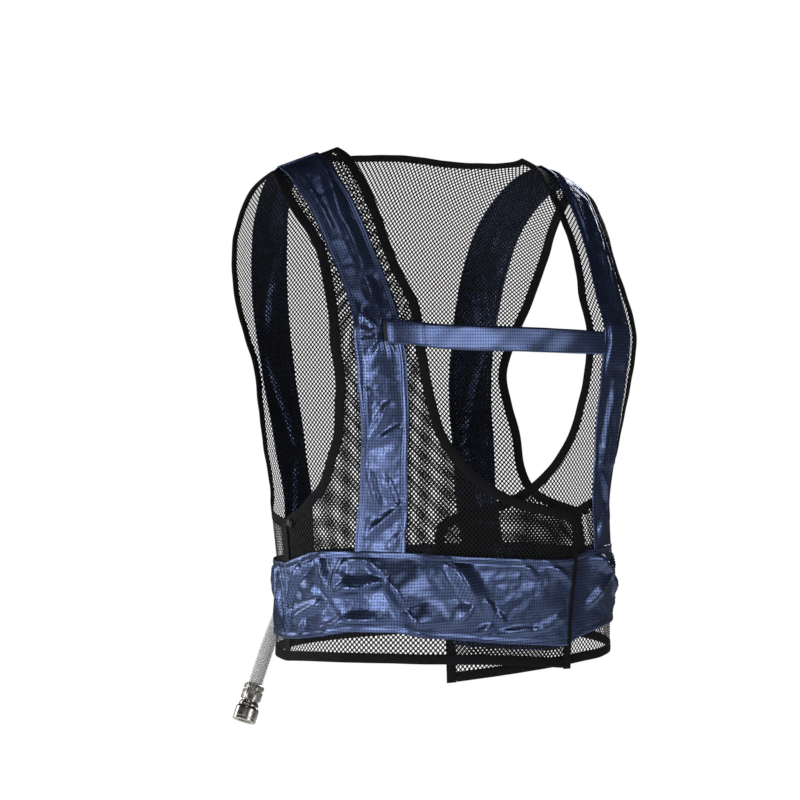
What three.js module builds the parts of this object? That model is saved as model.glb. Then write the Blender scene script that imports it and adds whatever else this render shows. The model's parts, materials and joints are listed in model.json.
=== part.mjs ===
// Air-cooled work vest, shown as it hangs when worn. Millimetres, +Z up.
// The front of the vest faces -Y and the wearer's right side is at -X.
// The origin lies between the shoulders, level with the outer third of the shoulder line.
import * as THREE from 'three';
import { mergeVertices } from 'three/addons/utils/BufferGeometryUtils.js';

// Driving sizes of the cloth
const NET_THICK = 1.2;
const BAND_THICK = 1.6;
const TAPE_WIDTH = 9;
const TAPE_THICK = 2.6;
const PATCH_THICK = 1.0;
const PATCH_GAP = 1.3;
const SEAM_GAP = 0.4;
const EDGE_GAP = 1.6;
const SHOULDER_SLOPE = 0.4;
const SHOULDER_LEVEL_AT = 145;
const NAPE_ROUNDING = 45;
const CLOTH_CLEARANCE = 0.3;
const STRAP_WIDTH = 21;
const BAND_LIFT = TAPE_THICK / 2 + SEAM_GAP;

// Driving sizes of the air hose and its quick coupler
const HOSE_DIAMETER = 14;
const CUFF_DIAMETER = 21;
const CUFF_LENGTH = 28;
const CUFF_ROUND = 3;
const NUT_ACROSS_FLATS = 17;
const NUT_LENGTH = 17;
const NUT_COLLAR_LENGTH = 3;
const NUT_COLLAR_STEP = 1.5;
const NUT_CHAMFER = 1;
const COUPLER_DIAMETER = 22.5;
const COUPLER_LENGTH = 19;
const COUPLER_NECK_STEP = 0.8;
const COUPLER_NECK_LENGTH = 6;
const COUPLER_CHAMFER = 3;
const COUPLER_EDGE = 1;
const SOCKET_DIAMETER = 13;
const SOCKET_DEPTH = 14;
const FITTING_GAP = 0.3;

// Colours of the materials
const LOOKS = {
  net: { color: 0x15151a, roughness: 0.85, metalness: 0 },
  tape: { color: 0x0c0c10, roughness: 0.9, metalness: 0 },
  band: { color: 0x33478c, roughness: 0.45, metalness: 0 },
  patch: { color: 0x141726, roughness: 0.95, metalness: 0 },
  stud: { color: 0x101012, roughness: 0.5, metalness: 0 },
  hose: { color: 0xcfd2d2, roughness: 0.3, metalness: 0 },
  cuff: { color: 0x1a1a1c, roughness: 0.7, metalness: 0 },
  metal: { color: 0xb8b4ac, roughness: 0.3, metalness: 0.9 },
};

// Form of the worn vest, from the shoulder line down to below the hem.
// tilt: how far the section follows the slope of the shoulders, 0 level to 1 full.
// middle: y of the section's middle. front and back: depth and half width of the section there,
// and its power, where 2 is an ellipse and more is squarer.
const BODY = [
  { height: 0, tilt: 1.0, middle: 0, front: [0, 206, 2.6], back: [0, 206, 2.6] },
  { height: -9, tilt: 1.0, middle: 0, front: [24, 206, 2.6], back: [40, 206, 2.6] },
  { height: -28, tilt: 0.9, middle: 0, front: [49, 206, 2.6], back: [74, 207, 2.6] },
  { height: -62, tilt: 0.6, middle: 0, front: [83, 206, 2.6], back: [104, 208, 2.6] },
  { height: -121, tilt: 0.2, middle: 0, front: [123, 215, 2.5], back: [122, 206, 2.6] },
  { height: -160, tilt: 0.05, middle: 0, front: [144, 218, 2.4], back: [125, 198, 2.6] },
  { height: -194, tilt: 0, middle: 0, front: [146, 206, 2.5], back: [124, 188, 2.6] },
  { height: -266, tilt: 0, middle: -4, front: [142, 176, 2.6], back: [116, 172, 2.5] },
  { height: -329, tilt: 0, middle: -8, front: [138, 163, 2.5], back: [110, 163, 2.3] },
  { height: -400, tilt: 0, middle: -20, front: [126, 164, 2.45], back: [114, 164, 2.2] },
  { height: -482, tilt: 0, middle: -20, front: [125, 165, 2.4], back: [118, 165, 2.2] },
];

// Cut of the front cloth, one row per line across it, from the hem up to the shoulder seam.
// down: way along the cloth from the shoulder line. turn: degrees round the body from the front
// middle. arch: how far the middle of the line lies above the straight line.
const FRONT_CUT = [
  { armDown: 524, armTurn: 90, edgeDown: 532, edgeTurn: 22, arch: 10 },
  { armDown: 503, armTurn: 90, edgeDown: 510, edgeTurn: 22.3, arch: 12 },
  { armDown: 468, armTurn: 90, edgeDown: 474, edgeTurn: 23, arch: 12 },
  { armDown: 430, armTurn: 90, edgeDown: 434, edgeTurn: 25, arch: 10 },
  { armDown: 408, armTurn: 90, edgeDown: 407, edgeTurn: 26.2, arch: 6 },
  { armDown: 391, armTurn: 87, edgeDown: 392, edgeTurn: 24.5, arch: 3 },
  { armDown: 383, armTurn: 79, edgeDown: 384.5, edgeTurn: 20, arch: 2 },
  { armDown: 369, armTurn: 70, edgeDown: 379, edgeTurn: 12, arch: 0 },
  { armDown: 354, armTurn: 63, edgeDown: 373.5, edgeTurn: 3.5, arch: 0 },
  { armDown: 332, armTurn: 57.5, edgeDown: 366, edgeTurn: -3.5, arch: 0 },
  { armDown: 310, armTurn: 53, edgeDown: 353, edgeTurn: -11, arch: 0 },
  { armDown: 286, armTurn: 50, edgeDown: 331, edgeTurn: -18, arch: 0 },
  { armDown: 264, armTurn: 47.5, edgeDown: 303, edgeTurn: -22, arch: 0 },
  { armDown: 219, armTurn: 46, edgeDown: 246, edgeTurn: -23, arch: 0 },
  { armDown: 178, armTurn: 45.5, edgeDown: 198, edgeTurn: -23, arch: 0 },
  { armDown: 144, armTurn: 46, edgeDown: 158, edgeTurn: -25.5, arch: 0 },
  { armDown: 113, armTurn: 48, edgeDown: 122, edgeTurn: -27, arch: 0 },
  { armDown: 82, armTurn: 50.5, edgeDown: 85, edgeTurn: -27.3, arch: 0 },
  { armDown: 42, armTurn: 52, edgeDown: 42, edgeTurn: -27.8, arch: 0 },
  { armDown: 0.5, armTurn: 51, edgeDown: 0.5, edgeTurn: -28, arch: 0 },
];

// Cut of the back cloth along its arm edge, from the hem up to the shoulder seam
const BACK_CUT = [
  { down: 524, turn: 90 },
  { down: 503, turn: 90 },
  { down: 468, turn: 90 },
  { down: 430, turn: 90 },
  { down: 408, turn: 90 },
  { down: 392, turn: 86 },
  { down: 389, turn: 78 },
  { down: 384, turn: 69 },
  { down: 374, turn: 61 },
  { down: 352, turn: 55.5 },
  { down: 320, turn: 52.5 },
  { down: 290, turn: 48.5 },
  { down: 256, turn: 45.5 },
  { down: 220, turn: 47 },
  { down: 178, turn: 50 },
  { down: 138, turn: 52.5 },
  { down: 98, turn: 54 },
  { down: 56, turn: 54 },
  { down: 26, turn: 53 },
  { down: 0.5, turn: 51 },
];
const BACK_NECK = { turn: 28, dip: 46, reach: 170, degreesPerMillimetre: 0.29, inward: 1 };

// Rows of the cut that lie on the side seam, and the way down to the bottom of the armhole
const SEAM_ROWS = 4;
const ARMHOLE_BOTTOM = 392.5;
const SIDE_SEAM_TURN = 89.85;

// Share of the cut that the hem tape takes, and how the left front hangs under the right one
const HEM_SHARE = 0.0265;
const LEFT_HEM = { drop: 5, archShare: 0.2, fadeShare: 0.15 };
const HEM_SEAM_SHARE = 0.32;
const HEM_INWARD = -1;

// Shoulder bands: their two edges by the way down the cloth, in degrees from the middle
const FRONT_BAND = [
  { down: 0.5, inner: 34, outer: 47.4 },
  { down: 20, inner: 34, outer: 47.2 },
  { down: 47, inner: 33.8, outer: 46.6 },
  { down: 78, inner: 33, outer: 45.2 },
  { down: 107, inner: 32.4, outer: 44.4 },
  { down: 134, inner: 31.4, outer: 43 },
  { down: 160, inner: 30, outer: 41 },
  { down: 183, inner: 29, outer: 40 },
  { down: 208, inner: 28.6, outer: 39.7 },
  { down: 233, inner: 28.2, outer: 40.1 },
  { down: 270, inner: 29.4, outer: 42 },
  { down: 303, inner: 31.4, outer: 44 },
  { down: 328, inner: 33, outer: 46 },
  { down: 356, inner: 34.2, outer: 48.4 },
  { down: 388, inner: 35.2, outer: 50.8 },
  { down: 418, inner: 35.8, outer: 52 },
];
const BACK_BAND = [
  { down: 0.5, inner: 34, outer: 47.4 },
  { down: 30, inner: 33, outer: 45.6 },
  { down: 75, inner: 30.5, outer: 43 },
  { down: 130, inner: 28, outer: 41 },
  { down: 200, inner: 26.5, outer: 39.5 },
  { down: 280, inner: 27, outer: 41 },
  { down: 350, inner: 28.5, outer: 43.5 },
  { down: 430, inner: 30, outer: 46 },
];

// Upper and lower edge of the waist band by the turn round the body: front from the
// wearer's right (negative) to the left, back the same for both sides
const WAIST_FRONT = [
  { turn: -89.6, top: 433, bottom: 503 },
  { turn: -80, top: 427, bottom: 501 },
  { turn: -66, top: 419, bottom: 496 },
  { turn: -51, top: 417, bottom: 490 },
  { turn: -40, top: 417.5, bottom: 490 },
  { turn: -31, top: 419, bottom: 494 },
  { turn: -19, top: 422, bottom: 498 },
  { turn: -6, top: 425, bottom: 503 },
  { turn: 8, top: 428, bottom: 507 },
  { turn: 20, top: 430, bottom: 510 },
  { turn: 30, top: 426, bottom: 504 },
  { turn: 40, top: 422, bottom: 499 },
  { turn: 58, top: 422, bottom: 497 },
  { turn: 75, top: 426, bottom: 500 },
  { turn: 89.6, top: 432, bottom: 502 },
];
const WAIST_BACK = { top: 433, bottom: 503 };

// Where the right front laps over the left one
const LAP = { lift: 4.0, fromTurn: 40, toTurn: 29, fromDown: 262, toDown: 335 };
const LAP_PATCH = { fromTurn: -7.5, toTurn: 18.5, topDown: 448, bottomDown: 488 };

// Chest strap: upper edge, from the wearer's right band to under the left one
const STRAP_LINE = [
  { turn: -32.5, down: 211, lift: 3.9 },
  { turn: -27, down: 212, lift: 3.9 },
  { turn: -20, down: 215, lift: 2.8 },
  { turn: -3, down: 218, lift: 2.2 },
  { turn: 14, down: 219, lift: 2.2 },
  { turn: 27, down: 219, lift: 2.0 },
  { turn: 38.5, down: 219, lift: 2.0 },
];
const STRAP_END = STRAP_LINE[STRAP_LINE.length - 1];
const TUNNEL_FLAT_BESIDE = 3.5;
const TUNNEL_FADE_BESIDE = 19.5;
const STRAP_TUNNEL = {
  down: STRAP_END.down + STRAP_WIDTH / 2,
  rise: STRAP_END.lift + BAND_THICK + SEAM_GAP - BAND_LIFT + CLOTH_CLEARANCE,
  flat: STRAP_WIDTH / 2 + TUNNEL_FLAT_BESIDE,
  fade: STRAP_WIDTH / 2 + TUNNEL_FADE_BESIDE,
};

// Main folds of the bands: a soft ridge from one point to another.
// width: half width of the ridge. rise: its height.
const RIGHT_BAND_FOLDS = [
  { turn: 36, down: 12, toTurn: 34, toDown: 120, width: 7, rise: 2.6 },
  { turn: 43, down: 30, toTurn: 36, toDown: 170, width: 8, rise: 3.0 },
  { turn: 45, down: 80, toTurn: 37.5, toDown: 196, width: 6, rise: 2.2 },
  { turn: 31, down: 150, toTurn: 33, toDown: 196, width: 6, rise: 2.0 },
  { turn: 38, down: 238, toTurn: 33, toDown: 275, width: 6, rise: 2.8 },
  { turn: 33, down: 262, toTurn: 41, toDown: 330, width: 7, rise: 2.4 },
  { turn: 44, down: 300, toTurn: 37, toDown: 385, width: 7, rise: 2.2 },
  { turn: 46, down: 372, toTurn: 39, toDown: 410, width: 6, rise: 2.6 },
];
const LEFT_BAND_FOLDS = [
  { turn: 37, down: 10, toTurn: 35, toDown: 120, width: 7, rise: 2.4 },
  { turn: 43, down: 50, toTurn: 35, toDown: 196, width: 8, rise: 2.8 },
  { turn: 35, down: 256, toTurn: 38, toDown: 345, width: 7, rise: 2.4 },
  { turn: 43, down: 300, toTurn: 44, toDown: 405, width: 7, rise: 2.4 },
];
const RIGHT_WAIST_FOLDS = [
  { turn: -86, down: 440, toTurn: -70, toDown: 470, width: 7, rise: 2.8 },
  { turn: -84, down: 480, toTurn: -62, toDown: 452, width: 7, rise: 3.0 },
  { turn: -74, down: 496, toTurn: -57, toDown: 472, width: 7, rise: 2.6 },
  { turn: -66, down: 428, toTurn: -52, toDown: 446, width: 7, rise: 2.6 },
  { turn: -49, down: 430, toTurn: -36, toDown: 480, width: 9, rise: 4.0 },
  { turn: -42, down: 424, toTurn: -31, toDown: 452, width: 7, rise: 3.0 },
  { turn: -26, down: 432, toTurn: -24, toDown: 492, width: 8, rise: 2.6 },
  { turn: -14, down: 470, toTurn: -20, toDown: 494, width: 7, rise: 2.4 },
];
const LEFT_WAIST_FOLDS = [
  { turn: 48, down: 428, toTurn: 60, toDown: 492, width: 8, rise: 2.6 },
  { turn: 66, down: 432, toTurn: 80, toDown: 496, width: 9, rise: 3.0 },
];
const BACK_WAIST_FOLDS = [
  { turn: -70, down: 436, toTurn: -78, toDown: 496, width: 9, rise: 2.6 },
  { turn: -14, down: 440, toTurn: -20, toDown: 496, width: 10, rise: 2.2 },
  { turn: 16, down: 436, toTurn: 24, toDown: 492, width: 10, rise: 2.2 },
  { turn: 66, down: 438, toTurn: 78, toDown: 496, width: 9, rise: 2.6 },
];

// Round studs under the armholes
const STUD = {
  diameter: 8,
  height: 2.6,
  crownShare: 0.6,
  turn: 84,
  down: ARMHOLE_BOTTOM + TAPE_WIDTH / 3,
};

// Millimetres of cloth to a degree of turn, along the shoulder bands and the waist band
const BAND_DEGREE = 3.3;
const WAIST_DEGREE = 2.6;

// Shares of a band along its edges and its side seam where its folds run out
const BAND_EDGE_SHARE = 0.2;
const WAIST_EDGE_SHARE = 0.25;
const WAIST_SEAM_SHARE = 0.04;

// Fineness of the pieces
const NET_COLUMNS = 7;
const BACK_NET_COLUMNS = 14;
const NET_ROWS = 28;
const BAND_COLUMNS = 6;
const FRONT_BAND_ROWS = 27;
const BACK_BAND_ROWS = 16;
const WAIST_ROWS = 7;
const BACK_WAIST_ROWS = 5;
const RIGHT_WAIST_COLUMNS = 32;
const LEFT_WAIST_COLUMNS = 20;
const BACK_WAIST_COLUMNS = 24;
const STRAP_COLUMNS = 20;
const PATCH_COLUMNS = 6;
const PATCH_ROWS = 3;
const TAPE_STEP = 14;
const HEM_STEP = 18;
const HOSE_STEPS = 5;
const FITTING_SIDES = 20;
const STUD_SIDES = 10;

// Run of the hose, from the cuff behind the wearer's right hip down to the fitting
const HOSE_ROUTE = [
  { x: -112.5, y: 86.3, z: -413.0 },
  { x: -115.8, y: 85.4, z: -419.0 },
  { x: -119.1, y: 84.5, z: -425.0 },
  { x: -122.3, y: 83.6, z: -431.0 },
  { x: -125.6, y: 82.8, z: -437.0 },
  { x: -128.7, y: 81.9, z: -443.0 },
  { x: -131.8, y: 81.0, z: -449.0 },
  { x: -134.8, y: 80.1, z: -455.0 },
  { x: -137.7, y: 79.2, z: -461.0 },
  { x: -140.6, y: 78.3, z: -467.0 },
  { x: -143.4, y: 77.4, z: -473.0 },
  { x: -146.1, y: 76.6, z: -479.0 },
  { x: -148.8, y: 75.7, z: -485.0 },
  { x: -151.5, y: 74.8, z: -491.0 },
  { x: -154.1, y: 73.9, z: -497.0 },
];

const FRONT = -1;
const BACK = 1;
const RIGHT = -1;
const LEFT = 1;

// Smooth curve through the rows of a table, without overshoot
function smoothColumn(rows, key, column) {
  const x = rows.map((row) => row[key]);
  const y = rows.map((row) => row[column]);
  const slopes = x.slice(1).map((next, i) => (y[i + 1] - y[i]) / (next - x[i]));
  const tangents = x.map((_, i) => {
    if (i === 0) return slopes[0];
    if (i === x.length - 1) return slopes[i - 1];
    const product = slopes[i - 1] * slopes[i];
    return product > 0 ? (2 * product) / (slopes[i - 1] + slopes[i]) : 0;
  });
  const rising = x[x.length - 1] > x[0];
  return (at) => {
    const low = Math.min(x[0], x[x.length - 1]);
    const high = Math.max(x[0], x[x.length - 1]);
    const place = Math.min(Math.max(at, low), high);
    let i = 0;
    while (i < slopes.length - 1 && (rising ? place > x[i + 1] : place < x[i + 1])) i += 1;
    const step = x[i + 1] - x[i];
    const t = (place - x[i]) / step;
    const startWeight = 2 * t ** 3 - 3 * t ** 2 + 1;
    const startTangentWeight = t ** 3 - 2 * t ** 2 + t;
    const endTangentWeight = t ** 3 - t ** 2;
    return startWeight * y[i] + startTangentWeight * step * tangents[i]
      + (1 - startWeight) * y[i + 1] + endTangentWeight * step * tangents[i + 1];
  };
}

// Rows of a table as a curve over their order, 0 at the first row and 1 at the last
function tableCurve(rows, column) {
  const ordered = rows.map((row, i) => ({ order: i / (rows.length - 1), value: row[column] }));
  return smoothColumn(ordered, 'order', 'value');
}

function ease(at, from, to) {
  const t = Math.min(Math.max((at - from) / (to - from), 0), 1);
  return t * t * (3 - 2 * t);
}

function bodyByWayDown() {
  let down = 0;
  const rows = BODY.map(({ height, tilt, middle, front, back }, i) => {
    const before = BODY[Math.max(i - 1, 0)];
    down += Math.hypot(height - before.height, front[0] - before.front[0]);
    const [frontDepth, frontHalf, frontPower] = front;
    const [backDepth, backHalf, backPower] = back;
    return {
      height, tilt, middle, frontDepth, frontHalf, frontPower, backDepth, backHalf, backPower, down,
    };
  });
  const columns = Object.keys(rows[0]).filter((column) => column !== 'down');
  return Object.fromEntries(columns.map((column) => [column, smoothColumn(rows, 'down', column)]));
}
const body = bodyByWayDown();

// A point of the body form: side is FRONT or BACK, turn is signed, negative to the wearer's right
function bodyPoint(side, down, turn) {
  const depth = side === FRONT ? body.frontDepth(down) : body.backDepth(down);
  const half = side === FRONT ? body.frontHalf(down) : body.backHalf(down);
  const power = side === FRONT ? body.frontPower(down) : body.backPower(down);
  const angle = THREE.MathUtils.degToRad(turn);
  const sine = Math.sin(angle);
  const cosine = Math.cos(angle);
  const reach = (Math.abs(sine) ** power + Math.abs(cosine) ** power) ** (-1 / power);
  const x = half * sine * reach;
  const y = body.middle(down) + side * depth * cosine * reach;
  const out = Math.hypot(x, NAPE_ROUNDING) - Math.hypot(SHOULDER_LEVEL_AT, NAPE_ROUNDING);
  const slope = body.tilt(down) * SHOULDER_SLOPE * out;
  return new THREE.Vector3(x, y, body.height(down) - slope);
}

function bodyNormal(side, down, turn) {
  const nearDown = Math.max(down, 2);
  const nearTurn = Math.min(Math.max(turn, -89), 89);
  const across = bodyPoint(side, nearDown, nearTurn + 1).sub(bodyPoint(side, nearDown, nearTurn - 1));
  const along = bodyPoint(side, nearDown + 2, nearTurn).sub(bodyPoint(side, nearDown - 2, nearTurn));
  return new THREE.Vector3().crossVectors(along, across).multiplyScalar(-side).normalize();
}

// A spot of the cloth lies lift above the body form
function clothPoint(spot, extraLift = 0) {
  const normal = bodyNormal(spot.side, spot.down, spot.turn);
  const point = bodyPoint(spot.side, spot.down, spot.turn);
  return point.addScaledVector(normal, spot.lift + extraLift);
}

// Lift of the front cloth where the right front laps over the left one
function lapLift(hand, down, turn) {
  const inLap = ease(-hand * turn, -LAP.fromTurn, -LAP.toTurn) * ease(down, LAP.fromDown, LAP.toDown);
  return -hand * LAP.lift * inLap;
}

function frontSpot(hand, down, turn, lift = 0) {
  return { side: FRONT, down, turn, lift: lift + lapLift(hand, down, turn) };
}

// Height of the folds at a place of a band
function foldRise(folds, down, turn, degreeWidth) {
  let rise = 0;
  for (const fold of folds) {
    const startAcross = (turn - fold.turn) * degreeWidth;
    const startAlong = down - fold.down;
    const runAcross = (fold.toTurn - fold.turn) * degreeWidth;
    const runAlong = fold.toDown - fold.down;
    const runLength = Math.hypot(runAcross, runAlong);
    const share = (startAcross * runAcross + startAlong * runAlong) / runLength ** 2;
    const held = Math.min(Math.max(share, 0), 1);
    const away = Math.hypot(startAcross - held * runAcross, startAlong - held * runAlong);
    rise = Math.max(rise, fold.rise * (1 - ease(away, 0, fold.width)));
  }
  return rise;
}

// Closed sheet over a grid of spots, from lowLift to highLift above them
function sheetGeometry(columns, rows, spotAt, lowLift, highLift) {
  const positions = [];
  const indices = [];
  const wide = columns + 1;
  const layer = wide * (rows + 1);
  for (const lift of [highLift, lowLift]) {
    for (let row = 0; row <= rows; row += 1) {
      for (let column = 0; column <= columns; column += 1) {
        const point = clothPoint(spotAt(column / columns, row / rows), lift);
        positions.push(point.x, point.y, point.z);
      }
    }
  }
  const quad = (a, b, c, d) => indices.push(a, b, c, a, c, d);
  for (let row = 0; row < rows; row += 1) {
    for (let column = 0; column < columns; column += 1) {
      const corner = row * wide + column;
      quad(corner, corner + 1, corner + wide + 1, corner + wide);
      quad(layer + corner, layer + corner + wide, layer + corner + wide + 1, layer + corner + 1);
    }
  }
  for (let column = 0; column < columns; column += 1) {
    const last = rows * wide + column;
    quad(column, layer + column, layer + column + 1, column + 1);
    quad(last, last + 1, layer + last + 1, layer + last);
  }
  for (let row = 0; row < rows; row += 1) {
    const first = row * wide;
    const end = first + columns;
    quad(first, first + wide, layer + first + wide, layer + first);
    quad(end, layer + end, layer + end + wide, end + wide);
  }
  return closedGeometry(positions, indices);
}

// Indexed geometry with its faces pointing out, whichever way the grid ran
function closedGeometry(positions, indices) {
  let volume = 0;
  const corner = (i) => new THREE.Vector3(positions[3 * i], positions[3 * i + 1], positions[3 * i + 2]);
  for (let i = 0; i < indices.length; i += 3) {
    const [a, b, c] = [corner(indices[i]), corner(indices[i + 1]), corner(indices[i + 2])];
    volume += a.dot(b.cross(c));
  }
  if (volume < 0) indices.reverse();
  const geometry = new THREE.BufferGeometry();
  geometry.setAttribute('position', new THREE.Float32BufferAttribute(positions, 3));
  geometry.setIndex(indices);
  geometry.computeVertexNormals();
  return geometry;
}

// Same spots at even steps along the cloth
function evenSpots(spotAt, length, closed) {
  const samples = 600;
  const spots = Array.from({ length: samples + 1 }, (_, i) => spotAt(i / samples));
  const way = [0];
  for (let i = 1; i <= samples; i += 1) {
    way.push(way[i - 1] + clothPoint(spots[i]).distanceTo(clothPoint(spots[i - 1])));
  }
  const count = Math.max(2, Math.round(way[samples] / length));
  const even = [];
  let i = 0;
  for (let step = 0; step < (closed ? count : count + 1); step += 1) {
    const target = (way[samples] * step) / count;
    while (i < samples - 1 && way[i + 1] < target) i += 1;
    const t = (target - way[i]) / (way[i + 1] - way[i]);
    even.push(spotAt((i + t) / samples));
  }
  return even;
}

// Binding tape along an edge: a flat bar from the edge inwards over the cloth
function tapeGeometry(spotAt, inward, stepLength, closed = false) {
  const spots = evenSpots(spotAt, stepLength, closed);
  const count = spots.length;
  const points = spots.map((spot) => clothPoint(spot));
  const positions = [];
  spots.forEach((spot, i) => {
    const before = points[closed ? (i + count - 1) % count : Math.max(i - 1, 0)];
    const after = points[closed ? (i + 1) % count : Math.min(i + 1, count - 1)];
    const ahead = after.clone().sub(before).normalize();
    const normal = bodyNormal(spot.side, spot.down, spot.turn);
    const across = new THREE.Vector3().crossVectors(normal, ahead).multiplyScalar(inward).normalize();
    for (const [aside, lift] of [[0, -1], [TAPE_WIDTH, -1], [TAPE_WIDTH, 1], [0, 1]]) {
      const corner = points[i].clone().addScaledVector(across, aside);
      corner.addScaledVector(normal, (lift * TAPE_THICK) / 2);
      positions.push(corner.x, corner.y, corner.z);
    }
  });
  const indices = [];
  const links = closed ? count : count - 1;
  for (let i = 0; i < links; i += 1) {
    const here = 4 * i;
    const next = 4 * ((i + 1) % count);
    for (let k = 0; k < 4; k += 1) {
      const turned = (k + 1) % 4;
      indices.push(here + k, here + turned, next + turned, here + k, next + turned, next + k);
    }
  }
  if (!closed) {
    const last = 4 * (count - 1);
    indices.push(0, 3, 2, 0, 2, 1);
    indices.push(last, last + 1, last + 2, last, last + 2, last + 3);
  }
  return closedGeometry(positions, indices);
}

// A spot moved inwards from an edge by a real distance, kept on the body form
function insetSpot(spotAt, t, inward, distance) {
  const spot = spotAt(t);
  const before = clothPoint(spotAt(Math.max(t - 0.002, 0)));
  const after = clothPoint(spotAt(Math.min(t + 0.002, 1)));
  const ahead = after.sub(before).normalize();
  const normal = bodyNormal(spot.side, spot.down, spot.turn);
  const move = new THREE.Vector3().crossVectors(normal, ahead).multiplyScalar(inward * distance);
  const here = bodyPoint(spot.side, spot.down, spot.turn);
  const perTurn = bodyPoint(spot.side, spot.down, spot.turn + 0.5).sub(here).multiplyScalar(2);
  const perDown = bodyPoint(spot.side, spot.down + 1, spot.turn).sub(here);
  const tt = perTurn.dot(perTurn);
  const td = perTurn.dot(perDown);
  const dd = perDown.dot(perDown);
  const mt = perTurn.dot(move);
  const md = perDown.dot(move);
  const size = tt * dd - td * td;
  return {
    side: spot.side,
    down: spot.down + (md * tt - mt * td) / size,
    turn: spot.turn + (mt * dd - md * td) / size,
  };
}

function material(name) {
  return new THREE.MeshStandardMaterial(LOOKS[name]);
}

function piece(name, geometry, look) {
  const mesh = new THREE.Mesh(geometry, material(look));
  mesh.name = name;
  return mesh;
}

// Edges of the cut as curves, t from the hem to the shoulder
function columnCurves(rows) {
  return Object.fromEntries(Object.keys(rows[0]).map((column) => [column, tableCurve(rows, column)]));
}
const frontCut = columnCurves(FRONT_CUT);
const backCut = columnCurves(BACK_CUT);

// The left front hangs a little lower where it lies under the right one
function leftDrop(hand, t) {
  return hand === LEFT ? LEFT_HEM.drop * (1 - ease(t, 0, LEFT_HEM.fadeShare)) : 0;
}

function frontArmEdge(hand) {
  return (t) => frontSpot(hand, frontCut.armDown(t), hand * frontCut.armTurn(t));
}

function frontNeckEdge(hand) {
  return (t) => frontSpot(hand, frontCut.edgeDown(t) + leftDrop(hand, t), -hand * frontCut.edgeTurn(t));
}

function backArmEdge(hand) {
  return (t) => ({ side: BACK, down: backCut.down(t), turn: hand * backCut.turn(t), lift: 0 });
}

// A spot of the line across the front cloth from its arm edge to its front edge
function frontLineSpot(hand, t, across, arm, edge) {
  const archShare = hand === LEFT ? THREE.MathUtils.lerp(LEFT_HEM.archShare, 1, ease(t, 0, 0.3)) : 1;
  const arch = frontCut.arch(t) * archShare * 4 * across * (1 - across);
  const down = THREE.MathUtils.lerp(arm.down, edge.down, across) - arch;
  return frontSpot(hand, down, THREE.MathUtils.lerp(arm.turn, edge.turn, across));
}

// 0 along the side seam, 1 along the armhole
function alongArmhole(t) {
  const seamEnd = SEAM_ROWS / (FRONT_CUT.length - 1);
  return ease(t, seamEnd, seamEnd + 1 / (FRONT_CUT.length - 1));
}

function frontNet(hand) {
  const clear = TAPE_WIDTH + EDGE_GAP;
  return sheetGeometry(NET_COLUMNS, NET_ROWS, (across, share) => {
    const t = THREE.MathUtils.lerp(HEM_SHARE, 1, share);
    const inArmhole = alongArmhole(t);
    const arm = insetSpot(frontArmEdge(hand), t, hand, clear * inArmhole);
    if (inArmhole === 0) arm.turn = hand * SIDE_SEAM_TURN;
    const edge = insetSpot(frontNeckEdge(hand), t, -hand, clear);
    return frontLineSpot(hand, t, across, arm, edge);
  }, -NET_THICK / 2, NET_THICK / 2);
}

// Way down of the back neckline, extra below the edge itself
function neckDip(turn, extra) {
  const half = BACK_NECK.turn + extra * BACK_NECK.degreesPerMillimetre;
  const share = Math.min(Math.abs(turn) / half, 1);
  return (BACK_NECK.dip + extra) * Math.sqrt(1 - share * share);
}

// Turn across the back, with columns that follow the neckline
function backTurn(across, armTurn, extra) {
  const half = BACK_NECK.turn + extra * BACK_NECK.degreesPerMillimetre;
  const sign = across < 0.5 ? -1 : 1;
  const out = Math.abs(across - 0.5) * 2;
  if (out <= 0.5) return sign * half * Math.sin(Math.PI * out);
  return sign * THREE.MathUtils.lerp(half, armTurn, (out - 0.5) * 2);
}

function backNet() {
  const clear = TAPE_WIDTH + EDGE_GAP;
  return sheetGeometry(BACK_NET_COLUMNS, NET_ROWS, (across, share) => {
    const t = THREE.MathUtils.lerp(HEM_SHARE, 1, share);
    const inArmhole = alongArmhole(t);
    const arm = insetSpot(backArmEdge(LEFT), t, -LEFT, clear * inArmhole);
    if (inArmhole === 0) arm.turn = SIDE_SEAM_TURN;
    const turn = backTurn(across, arm.turn, clear);
    const dip = neckDip(turn, clear) * (1 - ease(arm.down, 0, BACK_NECK.reach));
    return { side: BACK, down: arm.down + dip, turn, lift: 0 };
  }, -NET_THICK / 2, NET_THICK / 2);
}

function shoulderBand(side, hand, rows, folds) {
  const inner = smoothColumn(rows, 'down', 'inner');
  const outer = smoothColumn(rows, 'down', 'outer');
  const last = rows[rows.length - 1].down;
  const waistTop = waistEdge(side, 'top');
  const lines = side === FRONT ? FRONT_BAND_ROWS : BACK_BAND_ROWS;
  return sheetGeometry(BAND_COLUMNS, lines, (across, share) => {
    const place = THREE.MathUtils.lerp(rows[0].down, last, share);
    const turn = THREE.MathUtils.lerp(inner(place), outer(place), across);
    const end = waistTop(hand * turn) - SEAM_GAP;
    const down = THREE.MathUtils.lerp(rows[0].down, end, share);
    const inside = ease(across, 0, BAND_EDGE_SHARE) * ease(across, 1, 1 - BAND_EDGE_SHARE);
    const rise = foldRise(folds, down, turn, BAND_DEGREE) * inside;
    const tunnel = side === FRONT && hand === LEFT ? strapTunnel(down) : 0;
    const lift = Math.max(rise, tunnel);
    return side === FRONT
      ? frontSpot(hand, down, hand * turn, lift)
      : { side, down, turn: hand * turn, lift };
  }, BAND_LIFT, BAND_LIFT + BAND_THICK);
}

// The left shoulder band passes over the end of the chest strap
function strapTunnel(down) {
  const away = Math.abs(down - STRAP_TUNNEL.down);
  return STRAP_TUNNEL.rise * (1 - ease(away, STRAP_TUNNEL.flat, STRAP_TUNNEL.fade));
}

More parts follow.
